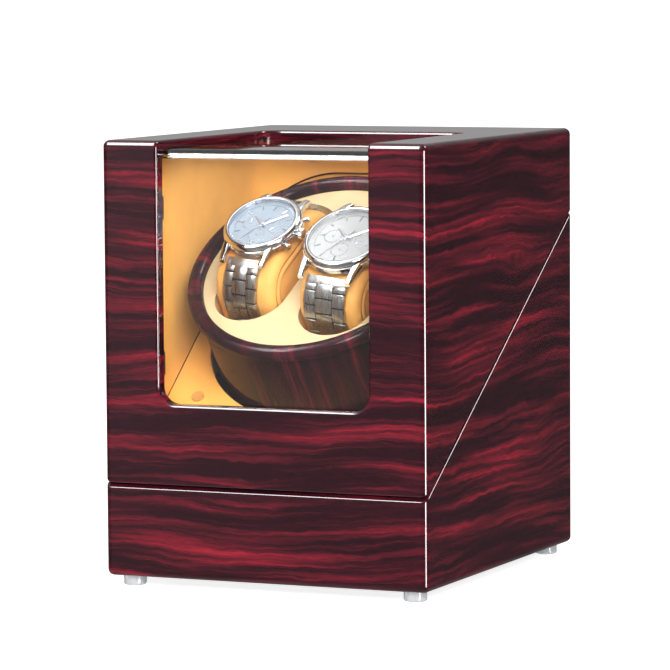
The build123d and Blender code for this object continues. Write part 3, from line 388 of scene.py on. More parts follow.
def case_wood():
    """Veneer whose streaks run level round the sides, with a knot, and from side to side on top."""
    made = Material("case_wood")
    _, x, y, z = made.place()
    geometry = made.tree.nodes.new("ShaderNodeNewGeometry")
    facing_x, _, facing_z = made.split(geometry.outputs["True Normal"])
    upward = made.math("GREATER_THAN", made.math("ABSOLUTE", facing_z), 0.75)
    upright = made.math("SUBTRACT", 1.0, upward)
    sideways = made.math("GREATER_THAN", made.math("ABSOLUTE", facing_x), 0.7)
    knot_y = made.math("SUBTRACT", y, KNOT_PLACE[0])
    knot_z = made.math("SUBTRACT", z, KNOT_PLACE[1])
    reach = made.add(made.times(made.times(knot_y, knot_y), KNOT_STRETCH), made.times(knot_z, knot_z))
    size = KNOT_RADIUS**2
    squeeze = made.math("DIVIDE", made.times(knot_z, -size), made.add(reach, size))
    slope = made.times(y, SIDE_SLOPE)
    side_height = made.add(z, made.times(made.add(squeeze, slope), sideways))
    top_height = made.add(made.times(y, TOP_SPREAD), TOP_SHIFT)
    across = made.add(made.times(upright, side_height), made.times(upward, top_height))
    along = made.add(made.times(upward, x), made.times(upright, made.add(x, y)))
    lacquer(made, streak_color(made, across, along), 1.0)
    return made.made


VENEER_RADIUS = 62 * MM


def turned_wood():
    """Veneer bent round the drum and the ring: its streaks run along the axis."""
    made = Material("turned_wood")
    _, x, y, z = made.turned_place()
    around = made.times(made.math("ARCTAN2", y, x), VENEER_RADIUS)
    lacquer(made, streak_color(made, around, z, bend=0.3, shift=0.035), 0.4)
    return made.made


PORES_PER_METRE = 1400
PORE_DEPTH = 0.06 * MM


def leather(name, color, sheen=0.1):
    """Fine-pored leatherette with a little tone change."""
    made = Material(name)
    point = made.place()[0]
    pores = made.tree.nodes.new("ShaderNodeTexVoronoi")
    pores.feature = "SMOOTH_F1"
    pores.inputs["Scale"].default_value = PORES_PER_METRE
    made.tree.links.new(point, pores.inputs["Vector"])
    mottle = made.noise(point, 45, 4)
    darker = tuple(c * 0.9 for c in color)
    made.link(made.ramp(mottle, (0.35, darker), (0.65, color)), "Base Color")
    fine = made.noise(point, 900, 3)
    made.bump(made.add(pores.outputs["Distance"], made.times(fine, 0.6)), PORE_DEPTH, 0.6)
    made.link(made.spread(fine, 0.3, 0.7, 0.44, 0.58), "Roughness")
    made.put("Specular IOR Level", 0.35)
    made.put("Sheen Weight", sheen)
    made.put("Sheen Roughness", 0.4)
    return made.made


LINE_DEPTH = 0.008 * MM


def brushed(name, color, roughness, fineness, amount=0.12, turned=False):
    """Metal with fine lines; fineness is how closely they lie along X, Y and Z, or the turntable's."""
    made = Material(name)
    point = (made.turned_place() if turned else made.place())[0]
    stretched = made.tree.nodes.new("ShaderNodeMapping")
    stretched.inputs["Scale"].default_value = fineness
    made.tree.links.new(point, stretched.inputs["Vector"])
    lines = made.noise(stretched.outputs[0], 1, 3, 0.6)
    smoothest = max(roughness - amount / 2, 0.02)
    made.link(made.spread(lines, 0.3, 0.7, smoothest, roughness + amount), "Roughness")
    lighter = tuple(min(1.0, c * 1.06) for c in color)
    darker = tuple(c * 0.88 for c in color)
    made.link(made.ramp(lines, (0.3, darker), (0.7, lighter)), "Base Color")
    made.put("Metallic", 1.0)
    made.bump(lines, LINE_DEPTH, 0.35)
    return made.made


GRAINS_PER_METRE = 350
GRAIN_DEPTH = 0.02 * MM


def plastic(name, color, roughness):
    """Plastic or paint with a fine grain."""
    made = Material(name)
    fine = made.noise(made.place()[0], GRAINS_PER_METRE, 4)
    darker = tuple(c * 0.82 for c in color)
    made.link(made.ramp(fine, (0.35, darker), (0.65, color)), "Base Color")
    made.link(made.spread(fine, 0.3, 0.7, roughness - 0.05, roughness + 0.07), "Roughness")
    made.bump(fine, GRAIN_DEPTH, 0.3)
    return made.made


def clear(name, tint, roughness=0.0, index=1.49, milky=0.0):
    """A clear solid that still lets lamps light what is behind it."""
    made = Material(name)
    haze = made.noise(made.place()[0], 25, 2)
    made.link(made.spread(haze, 0.3, 0.8, roughness, roughness + 0.01), "Roughness")
    made.put("Base Color", (*tint, 1))
    made.put("Transmission Weight", 1.0 - milky)
    made.put("IOR", index)
    through = made.tree.nodes.new("ShaderNodeBsdfTransparent")
    through.inputs["Color"].default_value = (*tint, 1)
    path = made.tree.nodes.new("ShaderNodeLightPath")
    either = made.tree.nodes.new("ShaderNodeMixShader")
    made.tree.links.new(path.outputs["Is Shadow Ray"], either.inputs["Fac"])
    made.tree.links.new(made.shader.outputs[0], either.inputs[1])
    made.tree.links.new(through.outputs[0], either.inputs[2])
    made.tree.links.new(either.outputs[0], made.output.inputs["Surface"])
    return made.made


def sunburst(name, color, side):
    """A dial whose fine rays turn round its middle."""
    made = Material(name)
    _, x, y, _ = made.turned_place()
    angle = made.math("ARCTAN2", y, made.math("SUBTRACT", x, SIDES[side] * SLOT_OFFSET))
    rays = made.noise(made.join(made.times(angle, 26), 0.0, 0.0), 1, 3, 0.6)
    darker = tuple(c * 0.86 for c in color)
    made.link(made.ramp(rays, (0.3, darker), (0.7, color)), "Base Color")
    made.link(made.spread(rays, 0.3, 0.7, 0.28, 0.4), "Roughness")
    made.put("Metallic", 0.35)
    return made.made


# ---------- mesh helpers ----------


def make_object(name, verts, faces, material, smooth_angle=35):
    """A mesh object from points in metres, smooth but for edges sharper than the angle."""
    mesh = bpy.data.meshes.new(name)
    mesh.from_pydata([tuple(point) for point in verts], [], faces)
    mesh.materials.append(material)
    tidy_normals(mesh)
    mesh.shade_smooth()
    mesh.set_sharp_from_angle(angle=math.radians(smooth_angle))
    made = bpy.data.objects.new(name, mesh)
    bpy.context.collection.objects.link(made)
    return made


def tidy_normals(mesh):
    """Turns every face outwards."""
    work = bmesh.new()
    work.from_mesh(mesh)
    bmesh.ops.recalc_face_normals(work, faces=work.faces)
    work.to_mesh(mesh)
    work.free()


def loft(rings, looped=False):
    """Points and faces of a skin over rings of equally many points, capped unless it is looped."""
    count = len(rings[0])
    verts = [point for ring in rings for point in ring]
    faces = []
    pairs = len(rings) if looped else len(rings) - 1
    for row in range(pairs):
        here = row * count
        there = (row + 1) % len(rings) * count
        for step in range(count):
            after = (step + 1) % count
            faces.append((here + step, here + after, there + after, there + step))
    if not looped:
        faces.append(tuple(range(count))[::-1])
        faces.append(tuple(range((len(rings) - 1) * count, len(rings) * count)))
    return verts, faces


def circle(radius, height, steps):
    """Points round Z."""
    angles = [2 * math.pi * step / steps for step in range(steps)]
    return [Vector((radius * math.cos(angle), radius * math.sin(angle), height)) for angle in angles]


def lathe(profile, steps=96):
    """A solid turned about Z from (radius, height) points, closed flat at both ends."""
    return loft([circle(radius, height, steps) for radius, height in profile])


def ring_mesh(outer, inner, low, high, steps=96):
    """A flat ring round Z."""
    corners = ((outer, low), (outer, high), (inner, high), (inner, low))
    return loft([circle(radius, height, steps) for radius, height in corners], looped=True)


def joined(parts):
    """One (points, faces) pair from several."""
    verts, faces = [], []
    for part_verts, part_faces in parts:
        start = len(verts)
        verts += part_verts
        faces += [tuple(index + start for index in face) for face in part_faces]
    return verts, faces


def moved(part, matrix):
    """A (points, faces) pair put somewhere else."""
    verts, faces = part
    return [matrix @ point for point in verts], faces


def soft_block(size, bevel, segments=2):
    """A box with rounded edges, centred on the origin."""
    work = bmesh.new()
    bmesh.ops.create_cube(work, size=1)
    bmesh.ops.scale(work, vec=size, verts=work.verts)
    bmesh.ops.bevel(work, geom=work.edges, offset=bevel, segments=segments, profile=0.5, affect="EDGES")
    work.verts.index_update()
    verts = [vert.co.copy() for vert in work.verts]
    faces = [tuple(vert.index for vert in face.verts) for face in work.faces]
    work.free()
    return verts, faces


def rounded_section(half_width, half_height, corner, steps):
    """A rounded rectangle of (x, y) points, counter-clockwise."""
    points = []
    corners = ((1, 1, 0), (-1, 1, 90), (-1, -1, 180), (1, -1, 270))
    for sx, sy, start in corners:
        for step in range(steps + 1):
            angle = math.radians(start + 90 * step / steps)
            x = sx * (half_width - corner) + corner * math.cos(angle)
            y = sy * (half_height - corner) + corner * math.sin(angle)
            points.append((x, y))
    return points


# ---------- cushions ----------

CROWN = 0.9 * MM
SIDE_ROUND = 4.0 * MM
SIDE_INSET = 0.5 * MM
SMALLEST_CORNER = 0.4 * MM
# The side panel in mm, from the rim inwards: (distance in from the outline, distance out of the side)
SIDE_STEPS = (
    (4.2, 0.0),
    (4.8, -0.3),
    (5.2, -1.3),
    (5.6, -0.3),
    (6.5, 0.5),
    (7.7, 0.5),
    (8.6, -0.2),
    (9.0, -1.4),
    (9.5, -0.9),
    (12.0, -0.4),
    (16.0, 0.0),
    (19.0, 0.1),
    (21.2, 0.1),
)
# The two seams: (place in SIDE_STEPS, the cord's distance out of the side, the cord's radius)
SEAMS = ((2, -1.1 * MM, 0.55 * MM), (7, -1.3 * MM, 0.5 * MM))
RIM_STOPS = 6
TOP_STOPS = 7
CORNER_STOPS = 14

# Cloth: what the bracelet and the slot hold still, and how the skin is filled
BAND_MARGIN = 0.5 * MM
HELD_BELOW = CUSHION_TOP - CUSHION_HEIGHT * 0.8
PRESSURE = 4.0
CLOTH_FRAMES = 12
CLOTH_REACH = 0.8 * MM


def slot_place(side):
    """From a slot's own frame, beside the turntable's axis, to the model."""
    return TURN @ Matrix.Translation((SIDES[side] * SLOT_OFFSET, 0, 0))


def cushion_ring(across, inward):
    """The cushion's outline drawn in by inward, at x = across."""
    corner = max(CUSHION_ROUND - inward, SMALLEST_CORNER)
    half_length = CUSHION_LENGTH / 2 - inward
    half_height = CUSHION_HEIGHT / 2 - inward
    outline = rounded_section(half_length, half_height, corner, CORNER_STOPS)
    middle = CUSHION_TOP - CUSHION_HEIGHT / 2
    return [Vector((across, along, middle + height)) for along, height in outline]


def cushion_mesh():
    """Half rings from one side's middle, over the padded rim, to the other side's middle."""
    half = CUSHION_WIDTH / 2
    one_side = []
    for inward, out in reversed(SIDE_STEPS):
        one_side.append((half - SIDE_INSET + out * MM, inward * MM))
    for step in range(RIM_STOPS):
        angle = math.radians(90 * step / (RIM_STOPS - 1))
        across = half - SIDE_ROUND + SIDE_ROUND * math.cos(angle)
        one_side.append((across, SIDE_ROUND * (1 - math.sin(angle))))
    flat = half - SIDE_ROUND
    top = []
    for step in range(1, TOP_STOPS + 1):
        across = flat * (1 - 2 * step / (TOP_STOPS + 1))
        top.append((across, -CROWN * (1 - (across / flat) ** 2)))
    other_side = [(-across, inward) for across, inward in reversed(one_side)]
    return loft([cushion_ring(*stop) for stop in one_side + top + other_side])


def seam_rings():
    """Which rings of the cushion's skin lie in the side panels' seams."""
    last = 2 * (len(SIDE_STEPS) + RIM_STOPS) + TOP_STOPS - 1
    near = [len(SIDE_STEPS) - 1 - step for step, _, _ in SEAMS]
    return near + [last - ring for ring in near]


def held_points(piece, band):
    """The points that stay: in the seams, under the bracelet and near the underside."""
    count = len(cushion_ring(0, 0))
    held = {ring * count + step for ring in seam_rings() for step in range(count)}
    for number, point in enumerate(piece.data.vertices):
        if point.co.z < HELD_BELOW or abs(point.co.x) < band / 2 + BAND_MARGIN:
            held.add(number)
    return sorted(held)


def puff(piece, held):
    """Fills a closed skin with air as cloth. The held points stay, and no point moves past the cap."""
    before = [vert.co.copy() for vert in piece.data.vertices]
    group = piece.vertex_groups.new(name="held")
    group.add(held, 1.0, "REPLACE")
    cloth = piece.modifiers.new("cloth", "CLOTH")
    cloth.settings.use_pressure = True
    cloth.settings.uniform_pressure_force = PRESSURE
    cloth.settings.effector_weights.gravity = 0
    cloth.settings.vertex_group_mass = "held"
    cloth.settings.quality = 6
    cloth.settings.tension_stiffness = 30
    cloth.settings.compression_stiffness = 10
    cloth.settings.bending_stiffness = 0.6
    cloth.point_cache.frame_end = CLOTH_FRAMES
    scene = bpy.context.scene
    for number in range(1, CLOTH_FRAMES + 1):
        scene.frame_set(number)
    evaluated = piece.evaluated_get(bpy.context.evaluated_depsgraph_get())
    after = [vert.co.copy() for vert in evaluated.data.vertices]
    piece.modifiers.remove(cloth)
    piece.vertex_groups.clear()
    scene.frame_set(1)
    for vert, old, new in zip(piece.data.vertices, before, after):
        step = new - old
        vert.co = old + step * min(1.0, CLOTH_REACH / max(step.length, 1e-9))


CORD_STEPS = 6


def seam_cord(seam, out, radius):
    """A thin cord in one seam, on both side panels."""
    inward = SIDE_STEPS[seam][0] * MM
    cords = []
    for way in (-1, 1):
        middle = cushion_ring(way * (CUSHION_WIDTH / 2 + out), inward)
        centre = sum(middle, Vector()) / len(middle)
        rings = []
        for point in middle:
            away = (point - centre).normalized()
            ring = []
            for step in range(CORD_STEPS):
                angle = math.radians(360 / CORD_STEPS * step)
                sideways = Vector((radius * math.sin(angle), 0, 0))
                ring.append(point + away * radius * math.cos(angle) + sideways)
            rings.append(ring)
        cords.append(loft(rings, looped=True))
    return cords


def make_seams(side, material):
    """The cords in a cushion's four seams."""
    cords = [cord for seam in SEAMS for cord in seam_cord(*seam)]
    piece = make_object(f"cushion_seams_{side}", *joined(cords), material)
    piece.data.transform(slot_place(side))
    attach(piece, f"cushion_{side}_body")


def make_cushion(side, material):
    """A padded cushion in its slot."""
    piece = make_object(f"padded_cushion_{side}", *cushion_mesh(), material, 60)
    puff(piece, held_points(piece, WATCHES[side]["band"]))
    piece.data.transform(slot_place(side))
    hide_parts(f"cushion_{side}")
    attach(piece, f"cushion_{side}_body")


# ---------- watches ----------

# The bracelet: how the band is shared between its rows, and the gaps and edges of its links
CENTRE_LINK = 0.40
LINK_PITCH = 6.6 * MM
LINK_GAP = 0.45 * MM
LINK_BEVEL = 0.45 * MM
CENTRE_GAP = 0.35 * MM
OUTER_GAP = 0.3 * MM
OUTER_THICKNESS = 0.9
END_LINK = 4.4 * MM
BAND_GAP = 0.2 * MM
BAND_START = 3.2 * MM
# Where the dark strip of painted shade under the links starts, and how many stops it has
SHADE_STRIP_START = 1.4 * MM
SHADE_STRIP_STOPS = 96

# The case and the dial, measured from the case's foot
CASE_FOOT = CUSHION_TOP + 0.1 * MM
CROWN_HEIGHT = CASE_FOOT + 4 * MM
BEZEL_INSET = 3.0 * MM
DIAL_INSET = 3.1 * MM
DIAL_HEIGHT = CASE_FOOT + 4.35 * MM
DIAL_THICK = 0.5 * MM


def wrap_point(distance, grow):
    """The frame (as a matrix) at a distance along the band's path, from the top's middle.

    X runs across the band, Y along the path, Z out of the cushion.
    """
    corner = CUSHION_ROUND + grow
    flat = CUSHION_LENGTH / 2 - CUSHION_ROUND
    rise = CUSHION_HEIGHT - 2 * CUSHION_ROUND
    arc = corner * math.pi / 2
    along, height, turn = 0.0, CUSHION_TOP + grow, 0.0
    left = distance
    for kind, length in (("run", flat), ("arc", arc), ("run", rise), ("arc", arc), ("run", 2 * flat)) + (
        ("arc", arc),
        ("run", rise),
        ("arc", arc),
        ("run", flat),
    ):
        part = min(left, length)
        if kind == "run":
            along += part * math.cos(turn)
            height -= part * math.sin(turn)
        else:
            after = turn + part / corner
            along += corner * (math.sin(after) - math.sin(turn))
            height -= corner * (math.cos(turn) - math.cos(after))
            turn = after
        left -= part
        if left <= 0:
            break
    place = Matrix.Translation((0, along, height))
    return place @ Matrix.Rotation(-turn, 4, "X")


def wrap_length(grow):
    """Once round the cushion along the band's path."""
    corner = CUSHION_ROUND + grow
    straight = 4 * (CUSHION_LENGTH / 2 - CUSHION_ROUND) + 2 * (CUSHION_HEIGHT - 2 * CUSHION_ROUND)
    return straight + 2 * math.pi * corner


def bracelet_mesh(radius, band, thick):
    """Three-row links, the middle row half a link out of step, all round the cushion."""
    grow = BAND_GAP + thick / 2
    start = radius + BAND_START
    end = wrap_length(grow) - start
    rows = int((end - start) / LINK_PITCH)
    pitch = (end - start) / rows
    middle = band * CENTRE_LINK
    outer = (band - middle) / 2
    links = []
    for row in range(rows):
        here = start + pitch * (row + 0.5)
        size = (middle - CENTRE_GAP, pitch - LINK_GAP, thick)
        links.append(moved(soft_block(size, LINK_BEVEL), wrap_point(here, grow)))
        shifted = here + pitch / 2 if row < rows - 1 else here + pitch / 4
        length = pitch - LINK_GAP if row < rows - 1 else pitch / 2
        for way in (-1, 1):
            offset = Matrix.Translation((way * (middle + outer) / 2, 0, 0))
            block = soft_block((outer - OUTER_GAP, length, thick * OUTER_THICKNESS), LINK_BEVEL)
            links.append(moved(block, wrap_point(shifted, grow) @ offset))
    for edge in (start - 1.2 * MM, end + 1.2 * MM):
        end_link = soft_block((band - OUTER_GAP, END_LINK, thick), 0.5 * MM)
        links.append(moved(end_link, wrap_point(edge, grow)))
    for way in (-1, 1):
        offset = Matrix.Translation((way * (middle + outer) / 2, 0, 0))
        block = soft_block((outer - 0.2 * MM, pitch / 2, thick * OUTER_THICKNESS), 0.4 * MM)
        links.append(moved(block, wrap_point(start + pitch / 4, grow) @ offset))
    return joined(links)


def gap_shade_mesh(radius, band, thick):
    """A dark steel strip under the links: painted shade that darkens the gaps between them."""
    grow = BAND_GAP + thick / 2
    start = radius + SHADE_STRIP_START
    end = wrap_length(grow) - start
    rings = []
    for stop in range(SHADE_STRIP_STOPS + 1):
        place = wrap_point(start + (end - start) * stop / SHADE_STRIP_STOPS, grow)
        ring = []
        for x, z in ((1, 1), (-1, 1), (-1, -1), (1, -1)):
            ring.append(place @ Vector((x * (band / 2 - 0.7 * MM), 0, z * thick * 0.27)))
        rings.append(ring)
    return loft(rings)


def case_mesh(radius):
    """Case turned in one piece: bowl, band, groove and bezel, hollow for the dial."""
    inner = radius - BEZEL_INSET
    # (radius, height above the foot in mm)
    profile = (
        (0.3 * MM, 0.2),
        (radius * 0.78, 0.2),
        (radius * 0.90, 0.7),
        (radius * 0.975, 1.8),
        (radius, 2.4),
        (radius, 5.0),
        (radius * 0.985, 5.25),
        (radius * 0.965, 5.3),
        (radius * 0.965, 5.55),
        (radius * 0.985, 5.6),
        (radius * 0.985, 6.0),
        (radius * 0.972, 6.9),
        (radius * 0.945, 7.6),
        (radius * 0.905, 8.0),
        (inner + 0.7 * MM, 8.1),
        (inner + 0.2 * MM, 8.0),
        (inner, 7.8),
        (inner, 4.3),
        (0.3 * MM, 4.3),
    )
    return lathe([(edge, CASE_FOOT + height * MM) for edge, height in profile])


LUG_STOPS = 9
LUG_OUTSIDE_BAND = 1.55 * MM


def lug_mesh(radius, band, way_x, way_y):
    """A horn that leaves the case's side and curves down to hold the band's end."""
    rings = []
    middle_x = band / 2 + LUG_OUTSIDE_BAND
    for stop in range(LUG_STOPS):
        t = stop / (LUG_STOPS - 1)
        along = radius * 0.60 + (radius * 0.40 + 4.2 * MM) * t
        drop = 3.9 * MM - 2.4 * MM * t**2.2
        thick = (4.6 - 2.2 * t) * MM
        wide = (3.4 - 0.7 * t) * MM
        shift = (radius * 0.06) * (1 - t)
        section = rounded_section(wide / 2, thick / 2, 0.6 * MM, steps=3)
        ring = []
        for x, z in section:
            place = (way_x * (middle_x + shift + x), way_y * along, CASE_FOOT + 0.2 * MM + drop + z)
            ring.append(Vector(place))
        rings.append(ring)
    return loft(rings)


# Outlines along X: (share of the length, share of the radius)
CROWN_OUTLINE = ((0.0, 0.72), (0.06, 0.94), (0.2, 1.0), (0.8, 1.0), (0.94, 0.94), (1.0, 0.78))
PUSH_OUTLINE = ((0.0, 0.55), (0.35, 0.55), (0.38, 0.9), (0.45, 1.0), (0.9, 1.0), (1.0, 0.85))
PUSH_ANGLES = (-27, 27)
PUSH_SUNK = 0.5 * MM


def fluted_mesh(outline, radius, length, teeth, depth=0.0):
    """A crown or push-piece lying along X, from 0 to length, with flutes of a depth round it."""
    rings = []
    steps = teeth * 4
    for share, scale in outline:
        ring = []
        for step in range(steps):
            angle = 2 * math.pi * step / steps
            edge = radius * scale - depth * (0.5 + 0.5 * math.cos(teeth * angle))
            ring.append(Vector((share * length, edge * math.cos(angle), edge * math.sin(angle))))
        rings.append(ring)
    return loft(rings)


def crown_parts(radius):
    """The crown on the case's side, and the two chronograph push-pieces beside it."""
    crown = fluted_mesh(CROWN_OUTLINE, 2.5 * MM, 3.2 * MM, 20, 0.22 * MM)
    parts = [moved(crown, Matrix.Translation((radius, 0, CROWN_HEIGHT)))]
    for degrees in PUSH_ANGLES:
        turn = Matrix.Rotation(math.radians(degrees), 4, "Z")
        lift = Matrix.Translation((radius - PUSH_SUNK, 0, CROWN_HEIGHT))
        parts.append(moved(fluted_mesh(PUSH_OUTLINE, 1.5 * MM, 3.6 * MM, 6), turn @ lift))
    return parts


# Places on the dial, as shares of its radius
CHAPTER_RING = 0.86
MINUTE_TRACK = 0.93
COUNTER_PLACE = 0.42
COUNTER_ANGLES = (180, 270, 90)


def dial_parts(radius):
    """Dial plate with a raised chapter ring."""
    inner = radius - DIAL_INSET
    top = DIAL_HEIGHT + DIAL_THICK
    plate = lathe([(0.2 * MM, DIAL_HEIGHT), (inner, DIAL_HEIGHT), (inner, top), (0.2 * MM, top)])
    step = ring_mesh(inner, inner * CHAPTER_RING, DIAL_HEIGHT + 0.4 * MM, DIAL_HEIGHT + 0.9 * MM)
    return [plate, step]


def marker_parts(radius):
    """Applied hour markers, minute ticks, and the counters' rings and pointers."""
    inner = radius - DIAL_INSET
    top = DIAL_HEIGHT + DIAL_THICK
    parts = []
    for hour in range(12):
        long = 2.6 * MM if hour % 3 else 3.2 * MM
        bar = soft_block((0.8 * MM, long, 0.5 * MM), 0.12 * MM, 1)
        place = Matrix.Translation((0, inner * CHAPTER_RING - long / 2 - 0.3 * MM, top + 0.2 * MM))
        parts.append(moved(bar, Matrix.Rotation(-math.radians(30 * hour), 4, "Z") @ place))
    for minute in range(60):
        tick = soft_block((0.16 * MM, 0.9 * MM, 0.14 * MM), 0.03 * MM, 1)
        place = Matrix.Translation((0, inner * MINUTE_TRACK, top + 0.45 * MM))
        parts.append(moved(tick, Matrix.Rotation(-math.radians(6 * minute), 4, "Z") @ place))
    for degrees in COUNTER_ANGLES:
        angle = math.radians(degrees)
        away = inner * COUNTER_PLACE
        centre = Matrix.Translation((math.sin(angle) * away, math.cos(angle) * away, 0))
        rim = ring_mesh(inner * 0.24, inner * 0.215, top - 0.1 * MM, top + 0.18 * MM, 48)
        hub = ring_mesh(inner * 0.03, inner * 0.001, top, top + 0.3 * MM, 16)
        parts += [moved(rim, centre), moved(hub, centre)]
        pointer = soft_block((0.22 * MM, inner * 0.2, 0.12 * MM), 0.04 * MM, 1)
        place = Matrix.Translation((0, inner * 0.08, top + 0.25 * MM))
        parts.append(moved(pointer, centre @ Matrix.Rotation(angle * 1.3 + 0.4, 4, "Z") @ place))
    return parts


# The hands: (length as a share of the dial, width, lift and tail in mm, degrees past twelve)
HANDS = ((0.50, 1.7, 0.0, 2.5, 305), (0.78, 1.3, 0.35, 3.0, 48), (0.84, 0.45, 0.7, 5.0, 205))


def hand_mesh(length, width, height, tail):
    """A tapering hand with a low ridge, pointing along Y."""
    half = width / 2
    left = [(-half * 0.6, -tail), (-half, 0), (-half * 0.25, length)]
    outline = left + [(-x, y) for x, y in reversed(left)]
    low = [Vector((x, y, height)) for x, y in outline]
    high = [Vector((x * 0.5, y * 0.985, height + 0.22 * MM)) for x, y in outline]
    return loft([low, high])


def hand_parts(radius):
    """Three hands on one post."""
    inner = radius - DIAL_INSET
    top = DIAL_HEIGHT + 0.9 * MM
    parts = []
    for share, wide, lift, tail, degrees in HANDS:
        hand = hand_mesh(inner * share, wide * MM, top + lift * MM, tail * MM)
        parts.append(moved(hand, Matrix.Rotation(-math.radians(degrees), 4, "Z")))
    post = [(0.1, 0.0), (0.9, 0.0), (0.9, 1.1), (0.1, 1.2)]
    parts.append(lathe([(edge * MM, top + height * MM) for edge, height in post], 24))
    return parts


DOME_START = 0.97
DOME_STOPS = 8
DOME_MIDDLE = 0.05 * MM


def crystal_mesh(radius):
    """A shallow dome with a ground edge."""
    inner = radius - DIAL_INSET
    low = CASE_FOOT + 6.9 * MM
    edge = CASE_FOOT + 8.2 * MM
    profile = [(DOME_MIDDLE, low), (inner * 0.985, low), (inner, low + 0.2 * MM), (inner, edge)]
    profile.append((inner * DOME_START, edge + 0.4 * MM))
    for step in range(1, DOME_STOPS + 1):
        share = DOME_START * (1 - step / DOME_STOPS)
        height = 0.4 + 1.1 * (1 - (share / DOME_START) ** 2)
        profile.append((max(inner * share, DOME_MIDDLE), edge + height * MM))
    return lathe(profile)


def make_watch(side, materials):
    """A watch round its cushion, which it rides with."""
    watch = WATCHES[side]
    radius, band, thick = watch["radius"], watch["band"], watch["thick"]
    lugs = [lug_mesh(radius, band, x, y) for x in (-1, 1) for y in (-1, 1)]
    case = [case_mesh(radius)] + lugs + crown_parts(radius)
    bracelet = [bracelet_mesh(radius, band, thick)]
    # The dark strip under the links is painted shade for the gaps between them
    gap_shade = [gap_shade_mesh(radius, band, thick)]
    # (piece, parts, material, the node that it replaces, slot)
    pieces = (
        ("turned_case", case, "steel", "case", "watch_steel"),
        ("link_bracelet", bracelet, "links", "bracelet", "watch_steel"),
        ("gap_shade_strip", gap_shade, "gap_shade", None, "watch_steel"),
        ("dial_plate", dial_parts(radius), watch["dial"], "dial", f"watch_dial_{watch['slot']}"),
        ("dial_markers", marker_parts(radius), "polished", None, "watch_steel"),
        ("hands", hand_parts(radius), "hands", None, "watch_steel"),
        ("domed_crystal", [crystal_mesh(radius)], "crystal", "crystal", "watch_crystal"),
    )
    for name, parts, material, node, slot in pieces:
        piece = make_object(f"{name}_{side}", *joined(parts), materials[material])
        piece.data.transform(slot_place(side))
        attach(piece, f"cushion_{side}_body")
        if node:
            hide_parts(f"watch_{side}_{node}")


# ---------- control plate ----------

TICK_ANGLES = (-135, -67, 0, 67, 135)
TICK_SIZE = (0.4 * MM, 0.16 * MM, 1.4 * MM)
TICK_CLEARANCE = 1.5 * MM


def make_knob_ticks(material):
    """Printed ticks round the knob on the rear plate, and a pointer line on the knob's face."""
    low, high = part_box("mode_knob")
    middle = (low + high) / 2
    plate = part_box("rear_plate")[1].y
    radius = (high.x - low.x) / 2
    ticks = []
    for degrees in TICK_ANGLES:
        place = Matrix.Translation((middle.x, plate + 0.03 * MM, middle.z))
        turn = Matrix.Rotation(math.radians(degrees), 4, "Y")
        lift = Matrix.Translation((0, 0, radius + TICK_CLEARANCE))
        ticks.append(moved(soft_block(TICK_SIZE, 0.03 * MM, 1), place @ turn @ lift))
    piece = make_object("plate_ticks", *joined(ticks), material)
    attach(piece, "base")
    pointer = soft_block((0.5 * MM, 0.2 * MM, radius * 0.6), 0.04 * MM, 1)
    place = Matrix.Translation((middle.x, high.y + 0.02 * MM, middle.z + radius * 0.5))
    line = make_object("knob_pointer", *moved(pointer, place), material)
    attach(line, "mode_knob_body")


# ---------- run ----------


def dress(material, *names):
    """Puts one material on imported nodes."""
    for name in names:
        mesh = NODES[name].data
        mesh.materials.clear()
        mesh.materials.append(material)


def dress_metal():
    brass = brushed("hinge_brass", (0.80, 0.60, 0.28), 0.22, (300, 300, 300))
    dress(brass, "hinge_base_leaves", "hinge_lid_leaves", "hinge_pins")
    dress(brass, "hinge_screws_base", "hinge_screws_lid")
    steel = brushed("screw_steel", (0.6, 0.6, 0.62), 0.3, (500, 500, 500))
    dress(steel, "bottom_screws", "cleat_screws", "motor_screws", "hub_screws")
    dress(steel, "plate_screws", "idler_pin", "turntable_shaft", "retaining_clip", "motor_shaft")
    dress(steel, "base_magnets", "lid_magnets", "gear_motor", "hub_flange")
    dress(brushed("bronze", (0.6, 0.42, 0.22), 0.35, (400, 400, 400)), "upper_bush", "lower_bush")


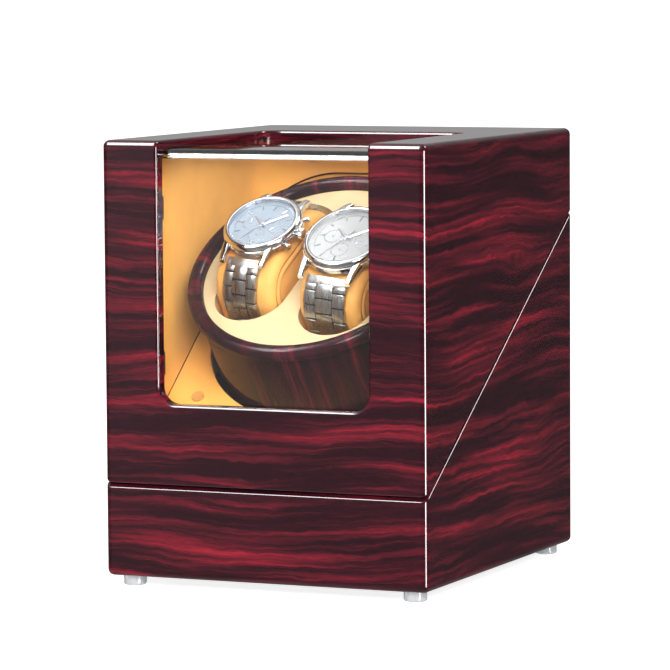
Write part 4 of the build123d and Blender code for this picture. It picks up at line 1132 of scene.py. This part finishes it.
def dress_plastic():
    black = plastic("black_plastic", (0.02, 0.02, 0.021), 0.4)
    dress(black, "window_cleats", "rear_plate", "rocker_frame", "mode_switch", "power_jack")
    dress(black, "mode_knob", "drive_chassis", "drive_belt", "motor_lead", "power_lead")
    dress(plastic("glossy_rocker", (0.02, 0.02, 0.02), 0.15), "rocker")
    dress(plastic("acetal", (0.85, 0.84, 0.80), 0.35), "idler", "output_gear", "motor_pulley", "board_posts")
    dress(plastic("circuit_green", (0.02, 0.16, 0.06), 0.35), "control_board")
    dress(plastic("panel_black", (0.03, 0.028, 0.028), 0.6), "bottom_panel")
    dress(plastic("black_strip", (0.012, 0.012, 0.012), 0.9), "rim_gasket")


def dress_case():
    dress(case_wood(), "base_case", "lid_shell")
    dress(turned_wood(), "drum", "rim_ring")
    dress(leather("camel_lining", (0.86, 0.43, 0.095)), "deck_tray", "lid_liner")
    dress(leather("face_leather", (0.56, 0.42, 0.235), sheen=0.02), "face_plate")
    dress(leather("well_lining", (0.80, 0.41, 0.10)), "slot_well_left", "slot_well_right")
    dress(plastic("painted_screw", (0.62, 0.30, 0.08), 0.5), "chassis_screws")
    dress(clear("acrylic", (0.985, 0.99, 0.99)), "window")
    dress(clear("clear_bumper", (0.80, 0.82, 0.84), 0.12, 1.4, 0.4), "feet")


def watch_materials():
    return {
        "steel": brushed("polished_steel", (0.80, 0.80, 0.82), 0.09, (300, 300, 300), 0.05, True),
        "links": brushed("brushed_steel", (0.50, 0.49, 0.48), 0.28, (3500, 120, 120), 0.14, True),
        # Painted shade: a dark steel colour for the strip seen in the gaps between the links
        "gap_shade": brushed("gap_shade_steel", (0.10, 0.095, 0.09), 0.45, (300, 300, 300), 0.05, True),
        "polished": brushed("marker_steel", (0.85, 0.85, 0.87), 0.12, (300, 300, 300), 0.04, True),
        "hands": brushed("hand_steel", (0.80, 0.82, 0.86), 0.15, (300, 300, 300), 0.05, True),
        "crystal": clear("crystal", (0.99, 0.99, 1.0), index=1.12),
        "ice": sunburst("ice_dial", (0.33, 0.39, 0.45), "left"),
        "silver": sunburst("silver_dial", (0.50, 0.51, 0.50), "right"),
    }


make_camera()
for name, lamp in LAMPS.items():
    make_lamp(name, *lamp)
make_world()
make_floor()
bpy.context.scene.view_settings.view_transform = "Standard"
dress_case()
dress_metal()
dress_plastic()
materials = watch_materials()
cushion_leather = leather("cushion_leather", (0.70, 0.345, 0.085), sheen=0.06)
seam_thread = leather("seam_thread", (0.30, 0.115, 0.03), sheen=0.0)
make_knob_ticks(plastic("tick_ink", (0.75, 0.75, 0.73), 0.5))
for side in SIDES:
    make_cushion(side, cushion_leather)
    make_seams(side, seam_thread)
    make_watch(side, materials)
